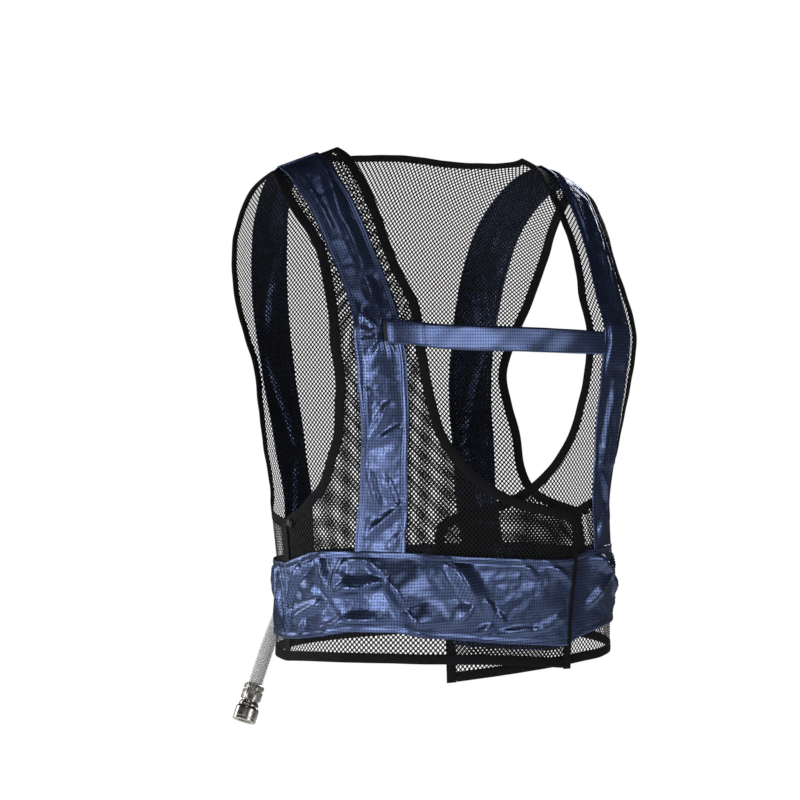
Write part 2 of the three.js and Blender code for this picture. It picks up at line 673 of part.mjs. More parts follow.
function waistEdge(side, column) {
  if (side === BACK) return () => WAIST_BACK[column];
  return smoothColumn(WAIST_FRONT, 'turn', column);
}

// Turn of the front edge beside its tape, at a way down the cloth
function besideTapeTurn(hand, down) {
  let low = 0;
  let high = 0.3;
  const clear = TAPE_WIDTH + EDGE_GAP;
  for (let i = 0; i < 24; i += 1) {
    const t = (low + high) / 2;
    if (insetSpot(frontNeckEdge(hand), t, -hand, clear).down > down) low = t;
    else high = t;
  }
  return insetSpot(frontNeckEdge(hand), low, -hand, clear).turn;
}

// 0 at the upper and lower edge of the waist band, 1 between them
function betweenHems(share) {
  return ease(share, 0, WAIST_EDGE_SHARE) * ease(share, 1, 1 - WAIST_EDGE_SHARE);
}

function frontWaistBand(hand, folds, columns) {
  const top = waistEdge(FRONT, 'top');
  const bottom = waistEdge(FRONT, 'bottom');
  const lowest = hand === RIGHT ? bottom : (turn) => bottom(turn) + LEFT_HEM.drop * ease(turn, 30, 10);
  return sheetGeometry(columns, WAIST_ROWS, (across, share) => {
    const nearDown = THREE.MathUtils.lerp(WAIST_BACK.bottom, WAIST_BACK.top, share);
    const end = besideTapeTurn(hand, nearDown);
    const turn = THREE.MathUtils.lerp(hand * SIDE_SEAM_TURN, end, across);
    const down = THREE.MathUtils.lerp(lowest(turn), top(turn), share);
    const inside = betweenHems(share) * ease(across, 0, WAIST_SEAM_SHARE);
    return frontSpot(hand, down, turn, foldRise(folds, down, turn, WAIST_DEGREE) * inside);
  }, BAND_LIFT, BAND_LIFT + BAND_THICK);
}

function backWaistBand() {
  return sheetGeometry(BACK_WAIST_COLUMNS, BACK_WAIST_ROWS, (across, share) => {
    const turn = THREE.MathUtils.lerp(-SIDE_SEAM_TURN, SIDE_SEAM_TURN, across);
    const down = THREE.MathUtils.lerp(WAIST_BACK.bottom, WAIST_BACK.top, share);
    const rise = foldRise(BACK_WAIST_FOLDS, down, turn, WAIST_DEGREE) * betweenHems(share);
    return { side: BACK, down, turn, lift: rise };
  }, BAND_LIFT, BAND_LIFT + BAND_THICK);
}

// Hook patch under the right front and loop patch on the left waist band
function lapPatch(hand, lift) {
  return sheetGeometry(PATCH_COLUMNS, PATCH_ROWS, (across, share) => {
    const turn = THREE.MathUtils.lerp(LAP_PATCH.fromTurn, LAP_PATCH.toTurn, across);
    const down = THREE.MathUtils.lerp(LAP_PATCH.bottomDown, LAP_PATCH.topDown, share);
    return frontSpot(hand, down, turn, lift);
  }, 0, PATCH_THICK);
}

function chestStrap() {
  const upper = smoothColumn(STRAP_LINE, 'turn', 'down');
  const lift = smoothColumn(STRAP_LINE, 'turn', 'lift');
  const first = STRAP_LINE[0].turn;
  const last = STRAP_LINE[STRAP_LINE.length - 1].turn;
  return sheetGeometry(STRAP_COLUMNS, 2, (across, share) => {
    const turn = THREE.MathUtils.lerp(first, last, across);
    const down = upper(turn) + STRAP_WIDTH * (1 - share);
    return { side: FRONT, down, turn, lift: lift(turn) };
  }, 0, BAND_THICK);
}

// Closed loop of an armhole: down the front edge, through the side seam and up the back edge
function armholeLoop(hand) {
  const front = frontArmEdge(hand);
  const back = backArmEdge(hand);
  const start = (SEAM_ROWS + 1) / (FRONT_CUT.length - 1);
  const seam = { down: ARMHOLE_BOTTOM, turn: hand * 90, lift: 0 };
  const between = (from, to, share) => ({
    side: from.side,
    down: THREE.MathUtils.lerp(from.down, to.down, share),
    turn: THREE.MathUtils.lerp(from.turn, to.turn, share),
    lift: 0,
  });
  return (u) => {
    if (u < 0.49) return front(THREE.MathUtils.lerp(1, start, u / 0.49));
    if (u < 0.5) return between(front(start), seam, (u - 0.49) / 0.01);
    if (u < 0.51) return between(back(start), seam, (0.51 - u) / 0.01);
    return back(THREE.MathUtils.lerp(start, 1, (u - 0.51) / 0.49));
  };
}

// Hem line from the right front edge round the back to the left front edge
function hemLine() {
  const clear = TAPE_WIDTH + EDGE_GAP;
  const line = (hand, across) => {
    const arm = frontArmEdge(hand)(0);
    const edge = insetSpot(frontNeckEdge(hand), 0.004, -hand, clear);
    edge.down = frontNeckEdge(hand)(0).down;
    return frontLineSpot(hand, 0, across, arm, edge);
  };
  return (u) => {
    if (u < HEM_SEAM_SHARE) return line(RIGHT, 1 - u / HEM_SEAM_SHARE);
    if (u > 1 - HEM_SEAM_SHARE) return line(LEFT, 1 - (1 - u) / HEM_SEAM_SHARE);
    const share = (u - HEM_SEAM_SHARE) / (1 - 2 * HEM_SEAM_SHARE);
    const turn = THREE.MathUtils.lerp(-90, 90, share);
    return { side: BACK, down: BACK_CUT[0].down, turn, lift: 0 };
  };
}

function backNeckLine(u) {
  const turn = BACK_NECK.turn * Math.sin(Math.PI * (u - 0.5));
  const shoulder = BACK_CUT[BACK_CUT.length - 1].down;
  return { side: BACK, down: Math.max(neckDip(turn, 0), shoulder), turn, lift: 0 };
}

// Round solid from a closed profile of [radius, length] points, its axis along a direction
function turned(profile, segments, origin, direction) {
  const points = profile.map(([radius, length]) => new THREE.Vector2(radius, length));
  const lathe = new THREE.LatheGeometry(points, segments);
  lathe.deleteAttribute('normal');
  lathe.deleteAttribute('uv');
  const geometry = mergeVertices(lathe, 1e-4);
  geometry.applyQuaternion(
    new THREE.Quaternion().setFromUnitVectors(new THREE.Vector3(0, 1, 0), direction),
  );
  geometry.translate(origin.x, origin.y, origin.z);
  return geometry;
}

function stud(hand) {
  const spot = { side: FRONT, down: STUD.down, turn: hand * STUD.turn, lift: 0 };
  const normal = bodyNormal(FRONT, spot.down, spot.turn);
  const foot = clothPoint(spot, TAPE_THICK / 2 + SEAM_GAP);
  const radius = STUD.diameter / 2;
  const profile = [
    [0, 0], [radius, 0], [radius, STUD.height / 2],
    [radius * STUD.crownShare, STUD.height], [0, STUD.height],
  ];
  return turned(profile, STUD_SIDES, foot, normal);
}

const hosePoints = HOSE_ROUTE.map((row) => new THREE.Vector3(row.x, row.y, row.z));
const hoseCurve = new THREE.CatmullRomCurve3(hosePoints);

function hoseGeometry() {
  const circle = new THREE.Shape();
  circle.absarc(0, 0, HOSE_DIAMETER / 2, 0, 2 * Math.PI);
  return new THREE.ExtrudeGeometry(circle, {
    extrudePath: hoseCurve, steps: HOSE_STEPS, curveSegments: 5, bevelEnabled: false,
  });
}

function cuffGeometry() {
  const ahead = hoseCurve.getTangent(0);
  const start = hosePoints[0].clone().addScaledVector(ahead, -FITTING_GAP - CUFF_LENGTH);
  const radius = CUFF_DIAMETER / 2;
  const profile = [
    [0, 0], [radius - CUFF_ROUND, 0], [radius, CUFF_ROUND],
    [radius, CUFF_LENGTH - CUFF_ROUND], [radius - CUFF_ROUND / 2, CUFF_LENGTH], [0, CUFF_LENGTH],
  ];
  return turned(profile, FITTING_SIDES, start, ahead);
}

const fittingAxis = hoseCurve.getTangent(1);

function nutGeometry() {
  const start = hosePoints[hosePoints.length - 1].clone().addScaledVector(fittingAxis, FITTING_GAP);
  const flats = NUT_ACROSS_FLATS / 2;
  const corner = flats / Math.cos(Math.PI / 6);
  const collar = flats - NUT_COLLAR_STEP;
  const hexLength = NUT_LENGTH - NUT_COLLAR_LENGTH;
  const profile = [
    [0, 0], [corner - NUT_CHAMFER, 0], [corner, NUT_CHAMFER],
    [corner, hexLength], [collar, hexLength + NUT_CHAMFER / 2],
    [collar, NUT_LENGTH], [0, NUT_LENGTH],
  ];
  return turned(profile, 6, start, fittingAxis);
}

function couplerGeometry() {
  const toStart = 2 * FITTING_GAP + NUT_LENGTH;
  const start = hosePoints[hosePoints.length - 1].clone().addScaledVector(fittingAxis, toStart);
  const radius = COUPLER_DIAMETER / 2;
  const neck = radius - COUPLER_NECK_STEP;
  const socket = SOCKET_DIAMETER / 2;
  const bottom = COUPLER_LENGTH - SOCKET_DEPTH;
  const profile = [
    [0, 0], [radius - COUPLER_CHAMFER, 0], [neck, COUPLER_CHAMFER],
    [neck, COUPLER_NECK_LENGTH], [radius, COUPLER_NECK_LENGTH + COUPLER_EDGE],
    [radius, COUPLER_LENGTH - COUPLER_EDGE], [radius - COUPLER_EDGE, COUPLER_LENGTH],
    [socket, COUPLER_LENGTH], [socket, bottom], [0, bottom],
  ];
  return turned(profile, FITTING_SIDES, start, fittingAxis);
}

function buildVest() {
  const vest = new THREE.Group();
  const hands = [['right', RIGHT], ['left', LEFT]];
  const bandFolds = { right: RIGHT_BAND_FOLDS, left: LEFT_BAND_FOLDS };
  vest.add(piece('net_back', backNet(), 'net'));
  for (const [word, hand] of hands) {
    const armTape = tapeGeometry(armholeLoop(hand), -hand, TAPE_STEP, true);
    const edgeTape = tapeGeometry(frontNeckEdge(hand), -hand, TAPE_STEP);
    const frontBand = shoulderBand(FRONT, hand, FRONT_BAND, bandFolds[word]);
    vest.add(piece(`net_front_${word}`, frontNet(hand), 'net'));
    vest.add(piece(`tape_armhole_${word}`, armTape, 'tape'));
    vest.add(piece(`tape_front_edge_${word}`, edgeTape, 'tape'));
    vest.add(piece(`band_shoulder_${word}`, frontBand, 'band'));
    vest.add(piece(`band_back_${word}`, shoulderBand(BACK, hand, BACK_BAND, []), 'band'));
    vest.add(piece(`stud_${word}`, stud(hand), 'stud'));
  }
  vest.add(piece('tape_back_neck', tapeGeometry(backNeckLine, BACK_NECK.inward, TAPE_STEP), 'tape'));
  vest.add(piece('tape_hem', tapeGeometry(hemLine(), HEM_INWARD, HEM_STEP), 'tape'));
  const rightWaist = frontWaistBand(RIGHT, RIGHT_WAIST_FOLDS, RIGHT_WAIST_COLUMNS);
  const leftWaist = frontWaistBand(LEFT, LEFT_WAIST_FOLDS, LEFT_WAIST_COLUMNS);
  vest.add(piece('band_waist_right', rightWaist, 'band'));
  vest.add(piece('band_waist_left', leftWaist, 'band'));
  vest.add(piece('band_waist_back', backWaistBand(), 'band'));
  vest.add(piece('patch_loop', lapPatch(LEFT, BAND_LIFT + BAND_THICK + SEAM_GAP), 'patch'));
  vest.add(piece('patch_hook', lapPatch(RIGHT, -NET_THICK / 2 - PATCH_GAP - PATCH_THICK), 'patch'));
  vest.add(piece('strap_chest', chestStrap(), 'band'));
  vest.add(piece('hose_cuff', cuffGeometry(), 'cuff'));
  vest.add(piece('hose', hoseGeometry(), 'hose'));
  vest.add(piece('hose_nut', nutGeometry(), 'metal'));
  vest.add(piece('coupler_body', couplerGeometry(), 'metal'));
  return vest;
}

export default buildVest();
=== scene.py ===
"""Air-cooled mesh work vest, dressed over its solids. Metres in the scene, millimetres in the tables."""
import json
import math
import bpy
import numpy as np
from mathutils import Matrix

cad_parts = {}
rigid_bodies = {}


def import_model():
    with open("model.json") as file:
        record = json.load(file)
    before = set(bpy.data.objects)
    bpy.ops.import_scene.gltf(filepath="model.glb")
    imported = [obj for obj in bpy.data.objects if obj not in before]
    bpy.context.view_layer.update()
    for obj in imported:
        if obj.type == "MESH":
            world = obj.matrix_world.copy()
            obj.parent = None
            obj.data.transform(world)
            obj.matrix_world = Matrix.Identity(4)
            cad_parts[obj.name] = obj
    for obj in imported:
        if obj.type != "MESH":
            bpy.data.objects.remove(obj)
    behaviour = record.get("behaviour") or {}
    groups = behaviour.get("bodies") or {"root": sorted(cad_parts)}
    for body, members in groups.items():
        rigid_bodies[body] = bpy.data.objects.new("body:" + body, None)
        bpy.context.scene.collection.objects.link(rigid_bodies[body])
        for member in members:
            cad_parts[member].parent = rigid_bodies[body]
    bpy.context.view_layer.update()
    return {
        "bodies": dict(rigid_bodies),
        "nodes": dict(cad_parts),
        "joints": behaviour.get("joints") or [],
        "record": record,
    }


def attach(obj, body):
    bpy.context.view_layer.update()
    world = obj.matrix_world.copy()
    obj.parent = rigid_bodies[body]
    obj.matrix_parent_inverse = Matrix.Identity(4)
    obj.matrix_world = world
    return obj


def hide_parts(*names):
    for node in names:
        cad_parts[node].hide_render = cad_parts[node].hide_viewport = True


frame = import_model()

MM = 0.001
FRONT, BACK = -1, 1
RIGHT, LEFT = -1, 1
HANDS = (("right", RIGHT), ("left", LEFT))

# Sizes of the cloth in millimetres
TAPE_WIDTH = 9.0
TAPE_THICK = 2.2
BAND_LIFT = 1.75
BAND_CLOTH = 0.9
STRAP_WIDTH = 21.0
SHOULDER_SLOPE = 0.4
SHOULDER_LEVEL_AT = 145.0
NAPE_ROUNDING = 45.0
SIDE_SEAM_TURN = 90.0
ARMHOLE_BOTTOM = 392.5
HEM_DOWN = 524.0

# Rows of the cut that lie on the side seam, above its first
SEAM_ROWS = 4

# Net: width and height of the cell that holds two holes, and the half widths of a knot
CELL_WIDE = 4.4
CELL_HIGH = 4.8
KNOT_WIDE = 1.1
KNOT_HIGH = 1.0
THREAD_HALF = 0.5

# Form of the worn vest, a row per section from the shoulder line down:
# height, tilt, middle, front depth, front half, front power, back depth, back half, back power
BODY = (
    (0, 1.0, 0, 0, 206, 2.6, 0, 206, 2.6),
    (-9, 1.0, 0, 24, 206, 2.6, 40, 206, 2.6),
    (-28, 0.9, 0, 49, 206, 2.6, 74, 207, 2.6),
    (-62, 0.6, 0, 83, 206, 2.6, 104, 208, 2.6),
    (-121, 0.2, 0, 123, 215, 2.5, 122, 206, 2.6),
    (-160, 0.05, 0, 144, 218, 2.4, 125, 198, 2.6),
    (-194, 0.0, 0, 146, 206, 2.5, 124, 188, 2.6),
    (-266, 0.0, -4, 142, 176, 2.6, 116, 172, 2.5),
    (-329, 0.0, -8, 138, 163, 2.5, 110, 163, 2.3),
    (-400, 0.0, -20, 126, 164, 2.45, 114, 164, 2.2),
    (-482, 0.0, -20, 125, 165, 2.4, 118, 165, 2.2),
)

# Cut of the front cloth from the hem up to the shoulder seam:
# way down and turn of the arm edge, way down and turn of the front edge, arch of the line between
FRONT_CUT = (
    (524, 90, 532, 22, 10),
    (503, 90, 510, 22.3, 12),
    (468, 90, 474, 23, 12),
    (430, 90, 434, 25, 10),
    (408, 90, 407, 26.2, 6),
    (391, 87, 392, 24.5, 3),
    (383, 79, 384.5, 20, 2),
    (369, 70, 379, 12, 0),
    (354, 63, 373.5, 3.5, 0),
    (332, 57.5, 366, -3.5, 0),
    (310, 53, 353, -11, 0),
    (286, 50, 331, -18, 0),
    (264, 47.5, 303, -22, 0),
    (219, 46, 246, -23, 0),
    (178, 45.5, 198, -23, 0),
    (144, 46, 158, -25.5, 0),
    (113, 48, 122, -27, 0),
    (82, 50.5, 85, -27.3, 0),
    (42, 52, 42, -27.8, 0),
    (0.5, 51, 0.5, -28, 0),
)

# Arm edge of the back cloth from the hem up: way down, turn
BACK_CUT = (
    (524, 90), (503, 90), (468, 90), (430, 90), (408, 90), (392, 86), (389, 78), (384, 69),
    (374, 61), (352, 55.5), (320, 52.5), (290, 48.5), (256, 45.5), (220, 47), (178, 50),
    (138, 52.5), (98, 54), (56, 54), (26, 53), (0.5, 51),
)
NECK_TURN = 28.0
NECK_DIP = 46.0
LEFT_HEM_DROP = 5.0
LEFT_ARCH_SHARE = 0.2
LEFT_FADE_SHARE = 0.15
LAP_LIFT = 4.0
LAP_TURNS = (-40, -29)
LAP_DOWNS = (262, 335)

# Shoulder bands: way down, inner and outer turn
FRONT_BAND = (
    (0.5, 34, 47.4), (20, 34, 47.2), (47, 33.8, 46.6), (78, 33, 45.2), (107, 32.4, 44.4),
    (134, 31.4, 43), (160, 30, 41), (183, 29, 40), (208, 28.6, 39.7), (233, 28.2, 40.1),
    (270, 29.4, 42), (303, 31.4, 44), (328, 33, 46), (356, 34.2, 48.4), (388, 35.2, 50.8),
    (418, 35.8, 52),
)
BACK_BAND = (
    (0.5, 34, 47.4), (30, 33, 45.6), (75, 30.5, 43), (130, 28, 41), (200, 26.5, 39.5),
    (280, 27, 41), (350, 28.5, 43.5), (430, 30, 46),
)

# Waist band on the front: turn, way down of its upper and of its lower edge
WAIST_FRONT = (
    (-89.6, 433, 503), (-80, 427, 501), (-66, 419, 496), (-51, 417, 490), (-40, 417.5, 490),
    (-31, 419, 494), (-19, 422, 498), (-6, 425, 503), (8, 428, 507), (20, 430, 510),
    (30, 426, 504), (40, 422, 499), (58, 422, 497), (75, 426, 500), (89.6, 432, 502),
)
WAIST_BACK = (433, 503)

# Chest strap: turn, way down of its upper edge, lift
STRAP_LINE = (
    (-32.5, 211, 3.9), (-27, 212, 3.9), (-20, 215, 2.8), (-3, 218, 2.2), (14, 219, 2.2),
    (27, 219, 2.0), (38.5, 219, 2.0),
)

# Room for the strap under the left band: way down of its middle, rise, half height, where it ends
STRAP_TUNNEL = (229.5, 2.6, 14, 30)

# Main folds of the bands: from turn and way down, to turn and way down, half width, rise,
# lean of the steep side towards the far end of the turns
RIGHT_BAND_FOLDS = (
    (36, 12, 38, 98, 9, 3.2, 0.3), (38, 98, 35, 155, 8, 2.8, 0.3), (35, 155, 34, 196, 7, 2.4, 0.2),
    (44, 30, 41, 120, 6, 2.0, 0), (40, 274, 44, 318, 6, 3.4, -0.3), (35, 283, 43, 318, 5, 2.4, 0.4),
    (41, 318, 33, 304, 5, 2.6, 0.3), (45, 343, 44, 375, 5, 2.8, 0.3), (40, 350, 38, 378, 5, 3.0, -0.3),
    (46, 398, 35, 370, 6, 3.4, 0.4), (36, 396, 40, 414, 5, 2.4, 0),
)
LEFT_BAND_FOLDS = (
    (37, 10, 35, 120, 8, 2.8, 0.2), (43, 50, 35, 190, 8, 3.0, -0.2), (35, 262, 37, 345, 6, 2.4, 0.2),
    (43, 300, 44, 350, 6, 2.6, 0), (38, 352, 46, 386, 5, 3.0, 0.3), (44, 380, 38, 410, 5, 2.6, 0),
)
BACK_BAND_FOLDS = (
    (38, 20, 34, 120, 8, 2.4, 0.2), (31, 130, 36, 220, 7, 2.0, 0), (38, 240, 33, 330, 7, 2.4, 0.2),
    (34, 340, 42, 416, 7, 2.6, 0),
)
RIGHT_WAIST_FOLDS = (
    (-54, 423, -47, 425, 7, 2.8, 0), (-47, 425, -41, 441, 11, 6.0, -0.3),
    (-41, 441, -35.5, 467, 18, 9.5, -0.5), (-35.5, 467, -31, 492, 18, 8.5, -0.5),
    (-41, 441, -47, 449, 8, 6.0, 0.3), (-47, 449, -59, 454, 9, 4.6, 0.3),
    (-77, 430, -87, 468, 6, 4.4, -0.3), (-71, 430, -82, 452, 6, 3.4, 0.4),
    (-64, 465, -82, 484, 7, 3.6, 0.4), (-66, 424, -62, 456, 8, 3.4, 0.2),
    (-56, 426, -61, 452, 6, 3.0, -0.3), (-66, 494, -56, 480, 8, 3.6, 0),
    (-56, 480, -44, 479, 9, 4.4, 0.2), (-89, 498, -85, 474, 5, 4.0, 0),
    (-80, 500, -76, 484, 5, 2.6, 0), (-22, 430, -15, 466, 12, 6.4, -0.4),
    (-20, 482, -14, 462, 8, 4.4, 0.3), (-12, 461, -5, 482, 7, 3.4, 0.4),
    (1, 428, 7, 442, 5, 2.4, 0.3), (12, 431, 21, 450, 5, 3.0, 0.3), (-5, 493, 6, 492, 6, 3.0, 0),
    (6, 494, 18, 486, 6, 2.8, 0.2), (-14, 494, -9, 486, 5, 2.6, 0),
)
LEFT_WAIST_FOLDS = (
    (36, 430, 51, 452, 8, 4.2, 0.3), (51, 452, 58, 472, 8, 4.0, 0.3), (33, 476, 40, 462, 6, 3.4, 0),
    (40, 462, 54, 434, 6, 3.4, -0.3), (66, 432, 80, 496, 9, 3.8, 0.3), (58, 482, 70, 466, 7, 3.0, 0),
)
BACK_WAIST_FOLDS = (
    (-78, 436, -86, 492, 9, 3.6, 0.2), (-70, 440, -60, 470, 8, 3.0, 0), (-50, 486, -40, 452, 9, 3.2, 0.3),
    (-14, 440, -22, 494, 10, 3.4, 0.3), (-4, 452, 6, 486, 9, 2.8, 0), (16, 438, 26, 490, 10, 3.4, -0.3),
    (42, 446, 52, 488, 9, 3.0, 0.3), (66, 438, 78, 494, 9, 3.4, 0), (34, 496, 44, 478, 7, 2.4, 0),
)

# Gathers where the chest strap is sewn on: turn and way down of the middle, reach, rise, pleats
RIGHT_GATHER = (33.2, 222, 30, 3.0, 9)
LEFT_GATHER = (29.0, 229, 40, 2.6, 8)

# Way round the body for a degree of turn, at the shoulder bands and at the waist
BAND_DEGREE = 3.3
WAIST_DEGREE = 2.6
FOLD_GAIN = 1.5
DEEPEST_DIP = -0.6


def smooth_column(keys, values):
    """Curve through the rows of a table, without overshoot."""
    x = np.asarray(keys, float)
    y = np.asarray(values, float)
    if x[0] > x[-1]:
        x, y = x[::-1], y[::-1]
    step = np.diff(x)
    slope = np.diff(y) / step
    tangent = np.zeros(len(x))
    product = slope[:-1] * slope[1:]
    total = np.where(slope[:-1] + slope[1:] == 0, 1, slope[:-1] + slope[1:])
    tangent[1:-1] = np.where(product > 0, 2 * product / total, 0)
    tangent[0], tangent[-1] = slope[0], slope[-1]

    def curve(at):
        place = np.clip(np.asarray(at, float), x[0], x[-1])
        i = np.clip(np.searchsorted(x, place) - 1, 0, len(step) - 1)
        t = (place - x[i]) / step[i]
        start = 2 * t**3 - 3 * t**2 + 1
        rise = (t**3 - 2 * t**2 + t) * step[i] * tangent[i]
        fall = (t**3 - t**2) * step[i] * tangent[i + 1]
        return start * y[i] + rise + (1 - start) * y[i + 1] + fall

    return curve


def table_curves(rows):
    """A curve per column over the order of the rows, 0 at the first and 1 at the last."""
    order = np.linspace(0, 1, len(rows))
    return [smooth_column(order, column) for column in zip(*rows)]


def column_curve(rows, column):
    """Curve of a column of a table over its first column."""
    return smooth_column([row[0] for row in rows], [row[column] for row in rows])


def way_along(points):
    """Way from the first of a line of points to each."""
    return np.concatenate([[0], np.cumsum(np.linalg.norm(np.diff(points, axis=0), axis=-1))])


def way_across(points):
    """Way from the first column of a grid of points to each."""
    steps = np.linalg.norm(np.diff(points, axis=1), axis=-1)
    return np.concatenate([np.zeros((len(points), 1)), np.cumsum(steps, axis=1)], axis=1)


def line_at(places, way, values):
    """Rows of values between those at the given ways."""
    return np.stack([np.interp(places, way, values[:, k]) for k in range(3)], -1)


def ease(at, start, end):
    t = np.clip((np.asarray(at, float) - start) / (end - start), 0, 1)
    return t * t * (3 - 2 * t)


def body_curves():
    heights = [row[0] for row in BODY]
    depths = [row[3] for row in BODY]
    way = np.concatenate([[0], np.cumsum(np.hypot(np.diff(heights), np.diff(depths)))])
    return [smooth_column(way, column) for column in zip(*BODY)]


BODY_CURVES = body_curves()


def body_point(side, down, turn):
    """Points of the body form in millimetres."""
    down, turn = np.broadcast_arrays(np.asarray(down, float), np.asarray(turn, float))
    height, tilt, middle = (curve(down) for curve in BODY_CURVES[:3])
    curves = BODY_CURVES[3:6] if side == FRONT else BODY_CURVES[6:9]
    depth, half, power = (curve(down) for curve in curves)
    angle = np.radians(turn)
    sine, cosine = np.sin(angle), np.cos(angle)
    reach = (np.abs(sine) ** power + np.abs(cosine) ** power) ** (-1 / power)
    x = half * sine * reach
    y = middle + side * depth * cosine * reach
    out = np.hypot(x, NAPE_ROUNDING) - math.hypot(SHOULDER_LEVEL_AT, NAPE_ROUNDING)
    z = height - tilt * SHOULDER_SLOPE * out
    return np.stack([x, y, z], -1)


def unit(vectors):
    return vectors / np.maximum(np.linalg.norm(vectors, axis=-1, keepdims=True), 1e-9)


def body_normal(side, down, turn):
    near_down = np.maximum(down, 2)
    near_turn = np.clip(turn, -89, 89)
    across = body_point(side, near_down, near_turn + 1) - body_point(side, near_down, near_turn - 1)
    along = body_point(side, near_down + 2, near_turn) - body_point(side, near_down - 2, near_turn)
    return unit(np.cross(along, across) * -side)


def cloth_point(side, down, turn, lift):
    lift = np.asarray(lift, float)[..., None]
    return body_point(side, down, turn) + body_normal(side, down, turn) * lift


def lap_lift(hand, down, turn):
    """Lift of the front cloth where the right front laps over the left one."""
    return -hand * LAP_LIFT * ease(-hand * turn, *LAP_TURNS) * ease(down, *LAP_DOWNS)


ARC_STEP = 4.0
ARC_DOWNS = np.arange(0.0, 545.0, ARC_STEP)
ARC_TURNS = np.arange(-90.0, 90.5, 1.0)
ARC_MIDDLE = 90


def arc_tables():
    """Real way round the body from the middle, for each way down and turn."""
    tables = {}
    for side in (FRONT, BACK):
        way = way_across(body_point(side, ARC_DOWNS[:, None], ARC_TURNS[None, :]))
        tables[side] = way - way[:, [ARC_MIDDLE]]
    return tables


ARCS = arc_tables()


def arc_row(side, down):
    place = np.clip(down / ARC_STEP, 0, len(ARC_DOWNS) - 1.001)
    i = int(place)
    return ARCS[side][i] * (1 - place + i) + ARCS[side][i + 1] * (place - i)


def arc_of(side, down, turn):
    """Way round the body for arrays of places."""
    place = np.clip(np.asarray(down, float) / ARC_STEP, 0, len(ARC_DOWNS) - 1.001)
    i = place.astype(int)
    column = np.clip(np.asarray(turn, float) + ARC_MIDDLE, 0, 2 * ARC_MIDDLE - 0.001)
    j = column.astype(int)
    table = ARCS[side]
    low = table[i, j] * (1 - column + j) + table[i, j + 1] * (column - j)
    high = table[i + 1, j] * (1 - column + j) + table[i + 1, j + 1] * (column - j)
    return low * (1 - place + i) + high * (place - i)


def turn_of(side, down, way):
    """Turn at a real way round the body, for one way down and an array of ways."""
    return np.interp(way, arc_row(side, down), ARC_TURNS)


FRONT_EDGES = table_curves(FRONT_CUT)
BACK_EDGES = table_curves(BACK_CUT)


def left_drop(hand, t):
    return LEFT_HEM_DROP * (1 - ease(t, 0, LEFT_FADE_SHARE)) if hand == LEFT else 0 * np.asarray(t, float)


def front_arm_edge(hand, t):
    return FRONT_EDGES[0](t), hand * FRONT_EDGES[1](t)


def front_neck_edge(hand, t):
    return FRONT_EDGES[2](t) + left_drop(hand, t), -hand * FRONT_EDGES[3](t)


def back_arm_edge(hand, t):
    return BACK_EDGES[0](t), hand * BACK_EDGES[1](t)


def hem_line(hand, across):
    arm_down, arm_turn = front_arm_edge(hand, 0.0)
    edge_down, edge_turn = front_neck_edge(hand, 0.0)
    share = LEFT_ARCH_SHARE if hand == LEFT else 1
    arch = FRONT_EDGES[4](0.0) * share * 4 * across * (1 - across)
    return arm_down + (edge_down - arm_down) * across - arch, arm_turn + (edge_turn - arm_turn) * across


def neck_dip(turn):
    share = np.minimum(np.abs(turn) / NECK_TURN, 1)
    return np.maximum(NECK_DIP * np.sqrt(1 - share**2), 0.5)


def fold_rise(folds, down, turn, degree):
    """Rise of the folds over a cloth: each is a crease line with a slope to both sides."""
    rise = np.zeros(np.broadcast(down, turn).shape)
    for turn_a, down_a, turn_b, down_b, width, height, lean in folds:
        run_across, run_along = (turn_b - turn_a) * degree, down_b - down_a
        length = math.hypot(run_across, run_along)
        across, along = (turn - turn_a) * degree, down - down_a
        held = np.clip((across * run_across + along * run_along) / length**2, 0, 1)
        away = np.hypot(across - held * run_across, along - held * run_along)
        facing = np.sign(across * run_along - along * run_across) * np.sign(run_along)
        share = np.clip(away / (width * (1 - lean * facing)), 0, 1)
        ends = 0.45 + 0.55 * np.sin(np.pi * held) ** 0.7
        rise = np.maximum(rise, height * ends * (1 - share) ** 1.5 * (1 + 0.5 * share))
    return rise


# Small creases of each band: seed, count, range of turns, range of ways down
CREASES = {
    "shoulder_band_right": (8, 9, (28, 53.4), (12.5, 418)),
    "shoulder_band_left": (10, 9, (28, 53.4), (12.5, 418)),
    "back_band_right": (12, 9, (28, 53.4), (12.5, 433)),
    "back_band_left": (14, 9, (28, 53.4), (12.5, 433)),
    "waistband_right": (30, 7, (-88, 16), (424, 496)),
    "waistband_left": (32, 6, (26, 88), (424, 496)),
    "waistband_back": (45, 12, (-86, 84), (436, 500)),
}

# Middle and spread of a crease's lean, and ranges of its other values
CREASE_ANGLE = (0.8, 0.6)
CREASE_LENGTH = (14, 46)
CREASE_WIDTH = (7.0, 15.0)
CREASE_RISE = (1.0, 2.6)
CREASE_LEAN = (-0.6, 0.6)


def small_creases(seed, count, turns, downs, degree):
    """Random short crease lines within a range of turns and ways down."""
    random = np.random.default_rng(seed)
    creases = []
    for _ in range(count):
        turn, down = random.uniform(*turns), random.uniform(*downs)
        angle, length = random.normal(*CREASE_ANGLE), random.uniform(*CREASE_LENGTH)
        end = (turn + length * math.sin(angle) / degree, down + length * math.cos(angle))
        sizes = (random.uniform(*limits) for limits in (CREASE_WIDTH, CREASE_RISE, CREASE_LEAN))
        creases.append((turn, down, *end, *sizes))
    return creases


def crumple_rise(creases, down, turn, degree):
    """Ridges and dips in turn, so that the cloth between the main folds is crumpled."""
    rise = np.zeros(np.broadcast(down, turn).shape)
    for number, crease in enumerate(creases):
        rise = rise + fold_rise([crease], down, turn, degree) * (1 if number % 3 else -0.8)
    return rise


